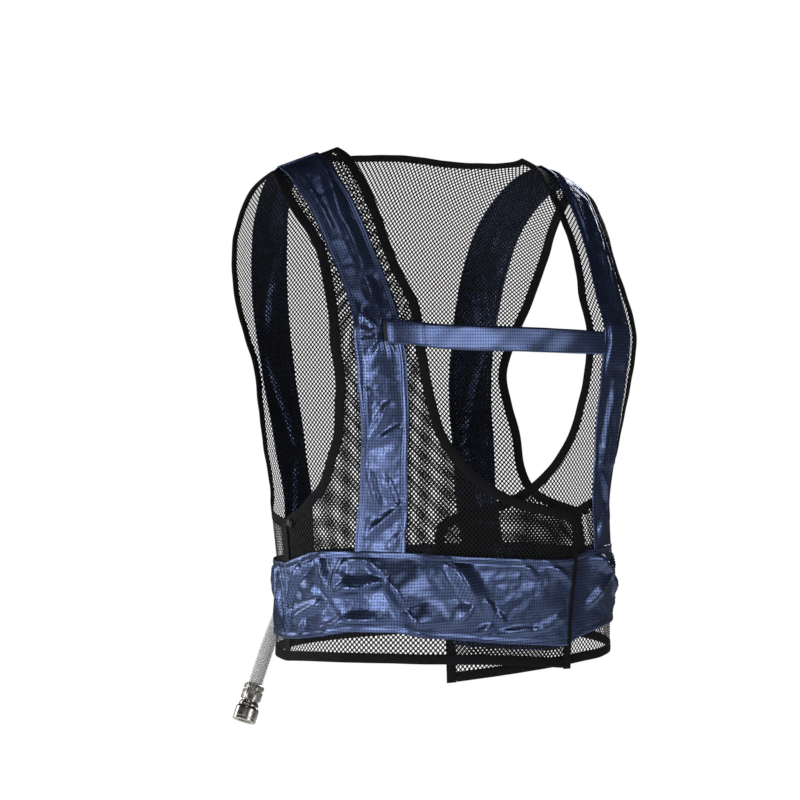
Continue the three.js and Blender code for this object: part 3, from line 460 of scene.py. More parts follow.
def band_rise(name, folds, down, turn, degree, share=1):
    """Rise of a band's main folds and of its small creases, these by a share."""
    small = crumple_rise(small_creases(*CREASES[name], degree), down, turn, degree)
    return FOLD_GAIN * fold_rise(folds, down, turn, degree) + small * share


def gather_rise(gather, down, turn, degree):
    """Pleats that spread from the place where a strap is sewn on."""
    turn_middle, down_middle, reach, height, pleats = gather
    across, along = (turn - turn_middle) * degree, down - down_middle
    away = np.hypot(across, along)
    angle = np.arctan2(along, across)
    fade = ease(away, reach, 0.3 * reach) * ease(away, 2, 8)
    return height * fade * (0.5 + 0.5 * np.cos(pleats * angle + 0.35 * away / 4)) ** 1.5


# Making objects

def new_object(name, points, faces, finish, node=None, uv=None, smooth=True):
    """Mesh piece from points in millimetres; uv gives each point's real place in millimetres.

    finish is a row of FINISHES, and node is the solid that the piece stands for."""
    mesh = bpy.data.meshes.new(name)
    points = np.asarray(points, float).reshape(-1, 3) * MM
    mesh.from_pydata([tuple(p) for p in points.tolist()], [], [tuple(f) for f in faces])
    if uv is not None:
        layer = mesh.uv_layers.new(name="UVMap")
        loops = np.zeros(len(mesh.loops), dtype=np.int64)
        mesh.loops.foreach_get("vertex_index", loops)
        flat = (np.asarray(uv, float).reshape(-1, 2) * MM)[loops]
        layer.data.foreach_set("uv", flat.astype(np.float32).ravel())
    mesh.polygons.foreach_set("use_smooth", [smooth] * len(mesh.polygons))
    mesh.update()
    return add_piece(name, mesh, finish, node)


def add_piece(name, data, finish, node=None):
    material, slot = FINISHES[finish]
    data.materials.append(material)
    piece = bpy.data.objects.new(name, data)
    bpy.context.scene.collection.objects.link(piece)
    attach(piece, "root")
    if node:
        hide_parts(node)
    return piece


def grid_faces(rows, columns, closed=False):
    """Quads of a grid with the given numbers of points."""
    i, j = np.meshgrid(np.arange(rows if closed else rows - 1), np.arange(columns - 1), indexing="ij")
    a = i * columns + j
    b = ((i + 1) % rows) * columns + j
    return np.stack([a, a + 1, b + 1, b], -1).reshape(-1, 4).tolist()


def apply_modifiers(piece):
    depsgraph = bpy.context.evaluated_depsgraph_get()
    mesh = bpy.data.meshes.new_from_object(piece.evaluated_get(depsgraph))
    old = piece.data
    piece.modifiers.clear()
    piece.data = mesh
    bpy.data.meshes.remove(old)


def inside_outline(points, outline, margin):
    """Which points lie in a closed outline and at least margin from its edge."""
    x, y = points[:, 0][:, None], points[:, 1][:, None]
    a = outline
    b = np.roll(outline, -1, axis=0)
    crosses = (a[:, 1] > y) != (b[:, 1] > y)
    run = np.where(b[:, 1] == a[:, 1], 1e-9, b[:, 1] - a[:, 1])
    hit = x < a[:, 0] + (y - a[:, 1]) / run * (b[:, 0] - a[:, 0])
    inside = (crosses & hit).sum(1) % 2 == 1
    edge = b - a
    length = np.maximum((edge**2).sum(1), 1e-9)
    t = np.clip(((x - a[:, 0]) * edge[:, 0] + (y - a[:, 1]) * edge[:, 1]) / length, 0, 1)
    away = np.hypot(x - a[:, 0] - t * edge[:, 0], y - a[:, 1] - t * edge[:, 1]).min(1)
    return inside & (away > margin)


# Materials

def plug(tree, node, inputs):
    """Set or link the inputs of a node, by name or number."""
    for key, value in inputs.items():
        if isinstance(value, bpy.types.NodeSocket):
            tree.links.new(value, node.inputs[key])
        else:
            node.inputs[key].default_value = value


def add_node(tree, kind, inputs, output=0, **settings):
    """New shader node; gives its output of this name or number."""
    node = tree.nodes.new("ShaderNode" + kind)
    for key, value in settings.items():
        setattr(node, key, value)
    plug(tree, node, inputs)
    return node.outputs[output]


def math_node(tree, operation, *values):
    return add_node(tree, "Math", dict(enumerate(values)), operation=operation)


def noise(tree, scale, detail=3, roughness=0.5):
    place = add_node(tree, "TexCoord", {}, "Object")
    inputs = {"Vector": place, "Scale": scale, "Detail": detail, "Roughness": roughness}
    return add_node(tree, "TexNoise", inputs, "Fac")


def ramp(tree, value, *stops):
    """Colour over a value, from stops of place and colour."""
    node = tree.nodes.new("ShaderNodeValToRGB")
    elements = node.color_ramp.elements
    while len(elements) < len(stops):
        elements.new(0.5)
    for element, (place, color) in zip(elements, stops):
        element.position = place
        element.color = (*color, 1)
    plug(tree, node, {"Fac": value})
    return node.outputs["Color"]


def grey(value):
    return (value, value, value)


def bump(tree, height, distance, strength=0.8, **below):
    inputs = {"Height": height, "Distance": distance, "Strength": strength, **below}
    return add_node(tree, "Bump", inputs, "Normal")


def uv_waves(tree, *pitches):
    """Waves from 0 to 1 across (0) or along (1) the cloth, each with its pitch in metres."""
    split = tree.nodes.new("ShaderNodeSeparateXYZ")
    plug(tree, split, {0: add_node(tree, "TexCoord", {}, "UV")})
    sines = [math_node(tree, "SINE", math_node(tree, "MULTIPLY", split.outputs[axis], 2 * math.pi / pitch))
             for axis, pitch in pitches]
    return [math_node(tree, "MULTIPLY_ADD", sine, 0.5, 0.5) for sine in sines]


# Blue cloth: pitch of its dots across and along, of its rows and of its weave, in metres
DOT_PITCHES = (0.0026, 0.0028)
ROW_PITCH = 0.0014
WEAVE_PITCH = 0.00055


def blue_fabric(tree):
    """Satin nylon with a grid of small dark dots and a fine weave."""
    across, along, rows, warp, weft = uv_waves(
        tree, (0, DOT_PITCHES[0]), (1, DOT_PITCHES[1]), (1, ROW_PITCH), (0, WEAVE_PITCH), (1, WEAVE_PITCH))
    dot = math_node(tree, "SMOOTH_MIN", math_node(tree, "MULTIPLY", across, along), 1.0, 0.1)
    mask = add_node(tree, "MapRange", {"Value": dot, "From Min": 0.36, "From Max": 0.68},
                    interpolation_type="SMOOTHSTEP")
    cloudy = noise(tree, 22, 4)
    base = ramp(tree, cloudy, (0.3, (0.083, 0.116, 0.238)), (0.7, (0.135, 0.183, 0.354)))
    dotted = {"Factor": mask, "A": base, "B": (0.010, 0.015, 0.045, 1)}
    weave = math_node(tree, "MULTIPLY", warp, weft)
    relief = math_node(tree, "MULTIPLY_ADD", mask, -0.8, weave)
    relief = math_node(tree, "MULTIPLY_ADD", rows, 0.25, relief)
    fine = bump(tree, relief, 0.00003)
    return {
        "Base Color": add_node(tree, "Mix", dotted, "Result", data_type="RGBA"),
        "Normal": bump(tree, noise(tree, 60, 4), 0.0011, 0.07, Normal=fine),
        "Roughness": ramp(tree, cloudy, (0.3, grey(0.25)), (0.7, grey(0.32))),
        "Metallic": 0.86,
        "Specular IOR Level": 0.4,
    }


def net_fabric(tree):
    grain = noise(tree, 1800)
    return {
        "Base Color": ramp(tree, grain, (0.3, (0.004, 0.004, 0.005)), (0.75, (0.014, 0.014, 0.016))),
        "Normal": bump(tree, grain, 0.0002, 0.7),
        "Roughness": 0.62,
        "Specular IOR Level": 0.15,
    }


def tape_fabric(tree):
    """Ribbed tape; its colour is darker in the grooves between the ribs as painted shade, with random tone
    from the noise.
    """
    ribs, cords = uv_waves(tree, (1, 0.0009), (0, 0.0016))
    relief = math_node(tree, "MULTIPLY_ADD", cords, 0.5, ribs)
    relief = math_node(tree, "MULTIPLY_ADD", noise(tree, 900), 0.6, relief)
    return {
        # Painted shade: the colour follows the relief, darker in the grooves between ribs and cords; the
        # noise adds random tone.
        "Base Color": ramp(tree, relief, (0.2, (0.002, 0.002, 0.003)), (0.95, (0.008, 0.008, 0.010))),
        "Normal": bump(tree, relief, 0.00025),
        "Roughness": 0.7,
        "Specular IOR Level": 0.15,
    }


def plain(color, roughness, grain_scale, depth, shade=0.55):
    """Finish of one colour with a grain of this scale and depth; shade is its darkest share."""
    def describe(tree):
        grain = noise(tree, grain_scale, 4)
        dark = tuple(shade * channel for channel in color)
        return {
            "Base Color": ramp(tree, grain, (0.3, dark), (0.7, color)),
            "Normal": bump(tree, grain, depth),
            "Roughness": roughness,
        }
    return describe


def nickel(tree):
    smears = noise(tree, 160, 5, 0.65)
    return {
        "Base Color": ramp(tree, smears, (0.3, (0.52, 0.49, 0.44)), (0.7, (0.74, 0.72, 0.68))),
        "Roughness": ramp(tree, smears, (0.35, grey(0.2)), (0.7, grey(0.36))),
        "Normal": bump(tree, smears, 0.0001, 0.5),
        "Metallic": 1.0,
    }


def clear_plastic(tree):
    haze = noise(tree, 240)
    return {
        "Base Color": ramp(tree, haze, (0.3, (0.84, 0.85, 0.85)), (0.7, (0.93, 0.94, 0.94))),
        "Roughness": 0.1,
        "Alpha": 0.22,
        "IOR": 1.45,
    }


def make_material(name, describe):
    """Material of this name; describe gives the inputs of its shader."""
    material = bpy.data.materials.new(name)
    material.use_nodes = True
    tree = material.node_tree
    plug(tree, tree.nodes["Principled BSDF"], describe(tree))
    return material


# Material and slot of each finish
FINISHES = {
    "blue": (make_material("blue_fabric", blue_fabric), "blue_fabric"),
    "net": (make_material("net_fabric", net_fabric), "mesh_net"),
    "tape": (make_material("tape_fabric", tape_fabric), "binding_tape"),
    "nickel": (make_material("nickel", nickel), "nickel_metal"),
    "clear": (make_material("clear_plastic", clear_plastic), "clear_hose"),
}
for key, name, slot, *look in (
        ("patch", "hook_pile", "hook_and_loop", (0.02, 0.028, 0.07), 0.9, 2200, 0.0006),
        ("plastic", "black_plastic", "black_plastic", (0.02, 0.02, 0.022), 0.45, 500, 0.00008),
        ("rubber", "black_rubber", "black_rubber", (0.022, 0.022, 0.024), 0.6, 700, 0.0001),
        ("thread", "dark_thread", "blue_fabric", (0.03, 0.045, 0.13), 0.6, 3000, 0.0001),
        # This black finish serves only the painted shadow bar at the strap's near end.
        ("black_thread", "black_thread", "blue_fabric", (0.012, 0.012, 0.014), 0.6, 3000, 0.0001),
        ("yarn", "white_yarn", "clear_hose", (0.95, 0.95, 0.94), 0.7, 3000, 0.0001, 0.9),
        ("liner", "hose_liner", "clear_hose", (0.74, 0.76, 0.76), 0.3, 300, 0.0001, 0.85)):
    FINISHES[key] = make_material(name, plain(*look)), slot


# Camera and light, the camera first

CAMERA_AZIMUTH = 30.0
CAMERA_AWAY = 2.0
CAMERA_HEIGHT = -0.194
LENS = 92.8
CAMERA_SHIFT = (-0.04, -0.0375)
FLOOR_RADIUS = 2.9
FLOOR_LEVEL = -1.25
FLOOR_CORNERS = 72
FLOOR_GLOW = 0.25
WORLD_LIGHT = 0.17

# Light of the surround from straight below to straight above
SURROUND = ((0.0, (0.30, 0.30, 0.30)), (0.42, (0.42, 0.42, 0.43)), (0.52, (0.30, 0.31, 0.33)),
            (0.75, (0.04, 0.045, 0.06)))

# Lights, all turned to one point: name, place, width, height, watts
LIT_POINT = (0, 0, -0.25)
LIGHTS = (
    ("key", (-1.85, -1.95, -0.35), 0.5, 1.1, 17),
    ("side", (-2.6, -0.1, -0.35), 0.5, 1.1, 17),
    ("fill", (0.9, -2.5, 0.2), 1.1, 1.1, 15),
    ("top", (-0.4, -0.9, 1.9), 0.8, 0.8, 3),
    ("rim", (1.7, 1.4, 0.4), 0.6, 1.4, 14),
    ("back", (-1.5, 1.9, 0.2), 0.6, 1.4, 16),
)


def look_camera():
    data = bpy.data.cameras.new("camera")
    camera = bpy.data.objects.new("camera", data)
    bpy.context.scene.collection.objects.link(camera)
    azimuth = math.radians(CAMERA_AZIMUTH)
    camera.location = (-CAMERA_AWAY * math.sin(azimuth), -CAMERA_AWAY * math.cos(azimuth), CAMERA_HEIGHT)
    camera.rotation_euler = (math.radians(90), 0, -azimuth)
    data.sensor_width = 36.0
    data.lens = LENS
    data.shift_x, data.shift_y = CAMERA_SHIFT
    bpy.context.scene.camera = camera


def area_light(name, location, wide, high, power):
    data = bpy.data.lights.new(name, "AREA")
    data.shape = "RECTANGLE"
    data.size, data.size_y = wide, high
    data.energy = power
    light = bpy.data.objects.new(name, data)
    light.location = location
    x, y, z = np.subtract(LIT_POINT, location)
    light.rotation_euler = (math.atan2(math.hypot(x, y), -z), 0, math.atan2(y, x) - math.pi / 2)
    bpy.context.scene.collection.objects.link(light)


def studio():
    """Pale floor well below the vest, soft lights, and a white surround for the camera."""
    angles = [2 * math.pi * k / FLOOR_CORNERS for k in range(FLOOR_CORNERS)]
    rim = [(FLOOR_RADIUS * math.cos(a), FLOOR_RADIUS * math.sin(a), FLOOR_LEVEL) for a in angles]
    mesh = bpy.data.meshes.new("floor")
    mesh.from_pydata(rim, [], [tuple(range(FLOOR_CORNERS))])
    floor = bpy.data.objects.new("floor", mesh)
    bpy.context.scene.collection.objects.link(floor)
    pale = make_material("pale_floor", plain(grey(0.86), 0.9, 3, 0.0001, 0.97))
    plug(pale.node_tree, pale.node_tree.nodes["Principled BSDF"],
         {"Emission Color": (1, 1, 1, 1), "Emission Strength": FLOOR_GLOW})
    mesh.materials.append(pale)
    world = bpy.data.worlds.new("world")
    world.use_nodes = True
    tree = world.node_tree
    plug(tree, tree.nodes["Background"], {"Color": (1, 1, 1, 1), "Strength": 1.0})
    height = add_node(tree, "SeparateXYZ", {0: add_node(tree, "TexCoord", {}, "Generated")}, "Z")
    level = math_node(tree, "MULTIPLY_ADD", height, 0.5, 0.5)
    lit = add_node(tree, "Background", {"Color": ramp(tree, level, *SURROUND), "Strength": WORLD_LIGHT})
    seen = tree.nodes["Background"].outputs[0]
    by_camera = add_node(tree, "LightPath", {}, "Is Camera Ray")
    mixed = add_node(tree, "MixShader", {0: by_camera, 1: lit, 2: seen})
    plug(tree, tree.nodes["World Output"], {"Surface": mixed})
    bpy.context.scene.world = world
    bpy.context.scene.view_settings.view_transform = "Standard"
    for light in LIGHTS:
        area_light(*light)


# The hose, along its middle from the cuff to the nut

HOSE_ROUTE = (
    (-112.5, 86.3, -413.0), (-115.8, 85.4, -419.0), (-119.1, 84.5, -425.0), (-122.3, 83.6, -431.0),
    (-125.6, 82.8, -437.0), (-128.7, 81.9, -443.0), (-131.8, 81.0, -449.0), (-134.8, 80.1, -455.0),
    (-137.7, 79.2, -461.0), (-140.6, 78.3, -467.0), (-143.4, 77.4, -473.0), (-146.1, 76.6, -479.0),
    (-148.8, 75.7, -485.0), (-151.5, 74.8, -491.0), (-154.1, 73.9, -497.0),
)


def sweep(points, normals, section, closed=False, inward=1):
    """Points of a bar that follows a line: section gives (inwards, lift) pairs round the bar."""
    points = np.asarray(points, float)
    if closed:
        ahead = np.roll(points, -1, axis=0) - np.roll(points, 1, axis=0)
    else:
        ahead = np.gradient(points, axis=0)
    ahead = unit(ahead)
    across = unit(np.cross(normals, ahead) * inward)
    section = np.asarray(section, float)
    inwards, lift = section[None, :, :1], section[None, :, 1:2]
    return points[:, None] + across[:, None] * inwards + normals[:, None] * lift


def tube_faces(rings, corners, closed=False, capped=True):
    faces = []
    for i in range(rings if closed else rings - 1):
        a, b = i * corners, ((i + 1) % rings) * corners
        for k in range(corners):
            n = (k + 1) % corners
            faces.append((a + k, a + n, b + n, b + k))
    if capped and not closed:
        faces.append(tuple(range(corners - 1, -1, -1)))
        faces.append(tuple((rings - 1) * corners + k for k in range(corners)))
    return faces


def even_line(side, down, turn, lift, step, closed=False):
    """Places at even real steps along a line of the cloth; all inputs are arrays."""
    points = on_sides(cloth_point, side, down, turn, lift)
    way = way_along(points)
    count = max(3, int(round(way[-1] / step)))
    places = np.linspace(0, way[-1], count + 1)
    if closed:
        places = places[:-1]
    normals = on_sides(body_normal, side, down, turn)
    return line_at(places, way, points), unit(line_at(places, way, normals)), places


def on_sides(find, side, *place):
    """Values of cloth_point or body_normal where side is an array too."""
    return np.where((side == FRONT)[:, None], find(FRONT, *place), find(BACK, *place))


TAPE_STEP = 3.0
TAPE_WOBBLE = 0.6
HEM_REACH = 0.97


def tape_section():
    """Folded tape: flat, with rounded edges and the two layers just parted at its inner edge."""
    half = TAPE_THICK / 2
    return [(0.0, -0.45 * half), (0.5, -0.95 * half), (2.5, -half), (TAPE_WIDTH - 0.6, -0.8 * half),
            (TAPE_WIDTH, -0.3 * half), (TAPE_WIDTH, 0.3 * half), (TAPE_WIDTH - 0.6, 0.8 * half),
            (2.5, half), (0.5, 0.95 * half), (0.0, 0.45 * half)]


def tape(name, node, side, down, turn, lift, inward, closed=False):
    """Folded tape along an edge, a little uneven in its lift."""
    points, normals, places = even_line(side, down, turn, lift, TAPE_STEP, closed)
    wobble = 0.35 * np.sin(places / 11.0) + 0.25 * np.sin(places / 4.3 + 1.0)
    points = points + normals * wobble[:, None] * TAPE_WOBBLE
    section = tape_section()
    ring = sweep(points, normals, section, closed, inward)
    corners = len(section)
    girth = np.concatenate([[0], np.cumsum(np.hypot(*np.diff(np.asarray(section), axis=0).T))])
    uv = np.stack(np.broadcast_arrays(girth[None, :], places[:, None]), -1)
    faces = tube_faces(len(points), corners, closed)
    return new_object(name, ring, faces, "tape", node, uv)


def front_line(hand):
    down, turn = front_neck_edge(hand, np.linspace(0, 1, 400))
    return np.full(400, FRONT), down, turn, lap_lift(hand, down, turn)


def armhole_line(hand):
    start = (SEAM_ROWS + 1) / (len(FRONT_CUT) - 1)
    t = np.linspace(1, start, 200)
    bridge = np.linspace(0, 1, 6)[1:]
    down, turn = (
        np.concatenate([front, front[-1] + (seam - front[-1]) * bridge,
                        seam + (back[0] - seam) * bridge, back[1:]])
        for front, seam, back in zip(front_arm_edge(hand, t), (ARMHOLE_BOTTOM, hand * SIDE_SEAM_TURN),
                                     back_arm_edge(hand, t[::-1])))
    side = np.repeat([FRONT, BACK], [205, 204])
    return side, down, turn, np.zeros(len(down))


def hem_places():
    """The hem, from the right front edge round the back to just short of the left front edge."""
    across = np.linspace(0, HEM_REACH, 200)
    right, left = hem_line(RIGHT, across[::-1]), hem_line(LEFT, across)
    back_turn = np.linspace(-90, 90, 300)[1:-1]
    flat = np.zeros(298)
    side = np.repeat([FRONT, BACK, FRONT], [200, 298, 200])
    down = np.concatenate([right[0], flat + HEM_DOWN, left[0]])
    turn = np.concatenate([right[1], back_turn, left[1]])
    lift = np.concatenate([lap_lift(RIGHT, *right), flat, lap_lift(LEFT, *left)])
    return side, down, turn, lift


def build_tapes():
    pieces = {}
    for word, hand in HANDS:
        pieces["front_" + word] = tape("binding_front_" + word, "tape_front_edge_" + word,
                                       *front_line(hand), -hand)
        pieces["arm_" + word] = tape("binding_armhole_" + word, "tape_armhole_" + word,
                                     *armhole_line(hand), -hand, closed=True)
    t = np.linspace(-0.5, 0.5, 200)
    turn = NECK_TURN * np.sin(np.pi * t)
    pieces["neck"] = tape("binding_back_neck", "tape_back_neck", np.full(200, BACK), neck_dip(turn), turn,
                          np.zeros(200), 1)
    pieces["hem"] = tape("binding_hem", "tape_hem", *hem_places(), -1)
    return pieces


# Nets

NET_MARGIN = 3.2
THREAD_SINK = -0.25
NET_SAG = 0.5
SAG_WIDE = 19
SAG_HIGH = 27


def front_outline(hand):
    """Outline of a front panel as (way round, way down) points."""
    t = np.linspace(0, 1, 160)
    edge_down, edge_turn = front_neck_edge(hand, t)
    arm_down, arm_turn = front_arm_edge(hand, t)
    hem_down, hem_turn = hem_line(hand, np.linspace(0, 1, 60))
    down = np.concatenate([hem_down, edge_down, arm_down[::-1]])
    turn = np.concatenate([hem_turn, edge_turn, arm_turn[::-1]])
    return np.stack([arc_of(FRONT, down, turn), down], -1)


def back_outline():
    t = np.linspace(0, 1, 160)
    right_down, right_turn = back_arm_edge(RIGHT, t)
    left_down, left_turn = back_arm_edge(LEFT, t)
    neck = NECK_TURN * np.sin(np.pi * np.linspace(-0.5, 0.5, 60))
    down = np.concatenate([right_down, neck_dip(neck), left_down[::-1]])
    turn = np.concatenate([right_turn, neck, left_turn[::-1]])
    return np.stack([arc_of(BACK, down, turn), down], -1)


def turns_of(side, flat):
    """Turn of each (way round, way down) point."""
    order = np.argsort(flat[:, 1])
    turn = np.zeros(len(flat))
    levels, starts = np.unique(np.round(flat[order, 1], 4), return_index=True)
    for level, group in zip(levels, np.split(order, starts[1:])):
        turn[group] = turn_of(side, float(level), flat[group, 0])
    return turn


def net_piece(name, node, side, outline, lift_at, wave_seed):
    """Knitted net with staggered holes, each thread and knot in the mesh."""
    half_wide, half_high = CELL_WIDE / 2, CELL_HIGH / 2
    low = outline.min(0) - 1
    high = outline.max(0) + 1
    rows = np.arange(int(low[1] / half_high), int(high[1] / half_high) + 2)
    columns = np.arange(int(low[0] / half_wide) - 1, int(high[0] / half_wide) + 2)
    row, column = np.meshgrid(rows, columns, indexing="ij")
    knot = (row + column) % 2 == 0
    row, column = row[knot], column[knot]
    centre = np.stack([column * half_wide, row * half_high], -1)
    kept = inside_outline(centre, outline, NET_MARGIN)
    row, column, centre = row[kept], column[kept], centre[kept]
    index = {(r, c): i for i, (r, c) in enumerate(zip(row.tolist(), column.tolist()))}
    count = len(row)
    places = [centre + offset for offset in
              ((-KNOT_WIDE, 0), (0, -KNOT_HIGH), (KNOT_WIDE, 0), (0, KNOT_HIGH))]
    heights = [np.zeros(count)] * 4
    left, top, right, bottom = (np.arange(count) + k * count for k in range(4))
    faces = np.stack([left, top, right, bottom], -1).tolist()
    total = 4 * count
    for step in (-1, 1):
        pairs = [(i, index.get((r + 1, c + step))) for (r, c), i in index.items()]
        pair = np.asarray([ends for ends in pairs if ends[1] is not None])
        a, b = pair[:, 0], pair[:, 1]
        middle = (centre[a] + centre[b]) / 2
        run = centre[b] - centre[a]
        aside = np.stack([-run[:, 1], run[:, 0]], -1)
        aside = aside / np.linalg.norm(aside, axis=1)[:, None] * THREAD_HALF
        one, two = middle + aside, middle - aside
        first = total + np.arange(len(pair))
        second = first + len(pair)
        total += 2 * len(pair)
        places += [one, two]
        heights += [np.full(len(pair), THREAD_SINK)] * 2
        if step == 1:
            near, far = (bottom[a], right[a]), (left[b], top[b])
        else:
            near, far = (left[a], bottom[a]), (top[b], right[b])
        faces += np.stack([near[0], first, second, near[1]], -1).tolist()
        faces += np.stack([first, far[0], far[1], second], -1).tolist()
    flat = np.concatenate(places)
    raised = np.concatenate(heights)
    across, down = flat.T
    turn = turns_of(side, flat)
    sag = NET_SAG * np.sin(across / SAG_WIDE + wave_seed) * np.sin(down / SAG_HIGH + 2 * wave_seed)
    points = cloth_point(side, down, turn, lift_at(down, turn) + raised + sag)
    return new_object(name, points, faces, "net", node, flat, smooth=False)


def build_nets():
    nets = {}
    for word, hand in HANDS:
        nets[word] = net_piece("mesh_front_" + word, "net_front_" + word, FRONT, front_outline(hand),
                               lambda down, turn, hand=hand: lap_lift(hand, down, turn), 0.7 * hand)
    nets["back"] = net_piece("mesh_back", "net_back", BACK, back_outline(),
                             lambda down, turn: 0 * down, 1.9)
    return nets


# Bands

BAND_NOMINAL = 48.0
WAIST_NOMINAL = 74.0
SEAM_IN = 5.4
CLOTH_STEP = 2.3
BAND_TUCK = 4
BESIDE_TAPE = 2.2

# Share of the folds that the sewn edges take, and ways down between which the creases set in
BAND_FLAT = 0.7
WAIST_FLAT = 0.65
CREASES_FROM = (40, 170)

# Sewn frame of the closure patch, and its lower and upper line as shares of the band
PATCH_TURNS = (-7.5, 19.5)
PATCH_DOWNS = (448, 488)
PATCH_SHARES = (0.2, 0.75)
WAIST_END_TURN = 22.0

# Ways in from the sewn edge at which the cloth has rows of points, one of them the seam
BAND_SEAM_ROWS = (0.0, 0.9, 2.4, 4.2, 5.4, 6.6, 8.2)


def seamed_shares(width):
    """Shares across a band of this width, closer together along its two sewn edges."""
    edge = list(BAND_SEAM_ROWS)
    count = int(round((width - 2 * edge[-1]) / CLOTH_STEP))
    middle = np.linspace(edge[-1], width - edge[-1], count + 1)[1:-1]
    return np.concatenate([edge, middle, width - np.asarray(edge[::-1])]) / width


def hem_rise(share, width):
    """Folded edge of a band, thicker up to its seam, with a groove at the seam."""
    inset = np.minimum(share, 1 - share) * width
    groove = 1 - ease(np.abs(inset - SEAM_IN), 0, 1.3)
    thicker = 0.35 * (1 - ease(inset, SEAM_IN - 1.5, SEAM_IN))
    return thicker - 0.4 * groove - 0.3 * (1 - ease(inset, 0, 0.9))


def cloth_grid(name, node, side, down, turn, lift, held, folds=0.0):
    """Band cloth over a grid of places, one layer; held is 1 where it is sewn down.

    folds is the rise of its folds, added once the spare cloth is settled."""
    points = cloth_point(side, down, turn, lift)
    across = way_across(points)
    place = np.stack([across - across.mean(1, keepdims=True), down], -1)
    return {
        "piece": new_object(name, points, grid_faces(*down.shape), "blue", node, place),
        "points": points,
        "size": grid_size(points),
        "out": body_normal(side, down, turn),
        "held": np.broadcast_to(held, down.shape),
        "folds": np.broadcast_to(folds, down.shape)[..., None],
    }


def grid_size(points):
    """Mean width and length of a grid of points, and its area, in metres."""
    across = np.linalg.norm(np.diff(points, axis=1), axis=-1)
    along = np.linalg.norm(np.diff(points, axis=0), axis=-1)
    first = np.cross(points[1:, 1:] - points[:-1, :-1], points[1:, :-1] - points[:-1, 1:])
    area = 0.5 * np.linalg.norm(first, axis=-1).sum()
    return across.sum(1).max() * MM, along.sum(0).max() * MM, area * MM * MM


def band_sewn(share, width):
    inset = np.minimum(share, 1 - share) * width
    return 1 - ease(inset, SEAM_IN + 0.8, SEAM_IN + 2.4)


def shoulder_band(name, node, side, hand, rows, folds, gather=None):
    inner, outer = column_curve(rows, 1), column_curve(rows, 2)
    along = np.linspace(0, 1, 190)[:, None]
    across = seamed_shares(BAND_NOMINAL)[None, :]
    place = rows[0][0] + (rows[-1][0] - rows[0][0]) * along
    turn = inner(place) + (outer(place) - inner(place)) * across
    top = column_curve(WAIST_FRONT, 1)(hand * turn) if side == FRONT else WAIST_BACK[0]
    down = (top + BAND_TUCK) * along + 0 * turn
    sewn = band_sewn(across, BAND_NOMINAL)
    rise = band_rise(name, folds, down, turn, BAND_DEGREE, ease(down, *CREASES_FROM))
    if gather:
        rise = rise + gather_rise(gather, down, turn, BAND_DEGREE)
    if side == FRONT and hand == LEFT:
        middle, height, flat, fade = STRAP_TUNNEL
        rise = np.maximum(rise, height * (1 - ease(np.abs(down - middle), flat, fade)))
    rise = np.maximum(rise, DEEPEST_DIP) * (1 - BAND_FLAT * sewn)
    lift = BAND_LIFT + BAND_CLOTH / 2 + hem_rise(across, BAND_NOMINAL) + 0 * down
    if side == FRONT:
        lift = lift + lap_lift(hand, down, hand * turn)
    ends = np.maximum(1 - ease(along, 0, 0.02), ease(along, 0.98, 1))
    return cloth_grid(name, node, side, down, hand * turn, lift, np.maximum(sewn, ends), rise)


def beside_tape_turn(hand, down):
    """Turn just under the tape of the front edge, for arrays of ways down."""
    t = np.linspace(0, 0.3, 200)
    edge_down, edge_turn = front_neck_edge(hand, t)
    near = np.interp(down, edge_down[::-1], edge_turn[::-1])
    return near + hand * BESIDE_TAPE


def waist_front(name, node, hand, folds):
    top, bottom = column_curve(WAIST_FRONT, 1), column_curve(WAIST_FRONT, 2)
    share = seamed_shares(WAIST_NOMINAL)[:, None]
    across = np.linspace(0, 1, 150 if hand == RIGHT else 110)[None, :]
    near = WAIST_BACK[1] + (WAIST_BACK[0] - WAIST_BACK[1]) * share
    end = beside_tape_turn(hand, near)
    turn = hand * SIDE_SEAM_TURN + (end - hand * SIDE_SEAM_TURN) * across
    low = bottom(turn) + (LEFT_HEM_DROP * ease(turn, 30, 10) if hand == LEFT else 0)
    down = low + (top(turn) - low) * share
    sewn = band_sewn(share, WAIST_NOMINAL)
    seam = 1 - ease(across, 0, 0.03)
    rise = band_rise(name, folds, down, turn, WAIST_DEGREE)
    rise = np.maximum(rise, DEEPEST_DIP) * (1 - WAIST_FLAT * sewn) * (1 - seam)
    held = np.maximum(sewn, np.maximum(seam, ease(across, 0.985, 1)))
    if hand == RIGHT:
        frame = patch_line_away(down, turn)
        rise = rise * (0.35 + 0.65 * ease(frame, 0, 5)) - 0.35 * (1 - ease(frame, 0, 1.6))
        held = np.maximum(held, 1 - ease(frame, 1, 2.6))
    else:
        rise = rise * ease(turn, 22, 34)
    lift = BAND_LIFT + BAND_CLOTH / 2 + hem_rise(share, WAIST_NOMINAL) + lap_lift(hand, down, turn)
    return cloth_grid(name, node, FRONT, down, turn, lift, held, rise)


def patch_line_away(down, turn):
    """Distance from the sewn frame of the closure patch."""
    across = np.maximum(PATCH_TURNS[0] - turn, turn - PATCH_TURNS[1]) * WAIST_DEGREE
    along = np.maximum(PATCH_DOWNS[0] - down, down - PATCH_DOWNS[1])
    outside = np.hypot(np.maximum(across, 0), np.maximum(along, 0))
    return np.where((across > 0) | (along > 0), outside, -np.maximum(across, along))


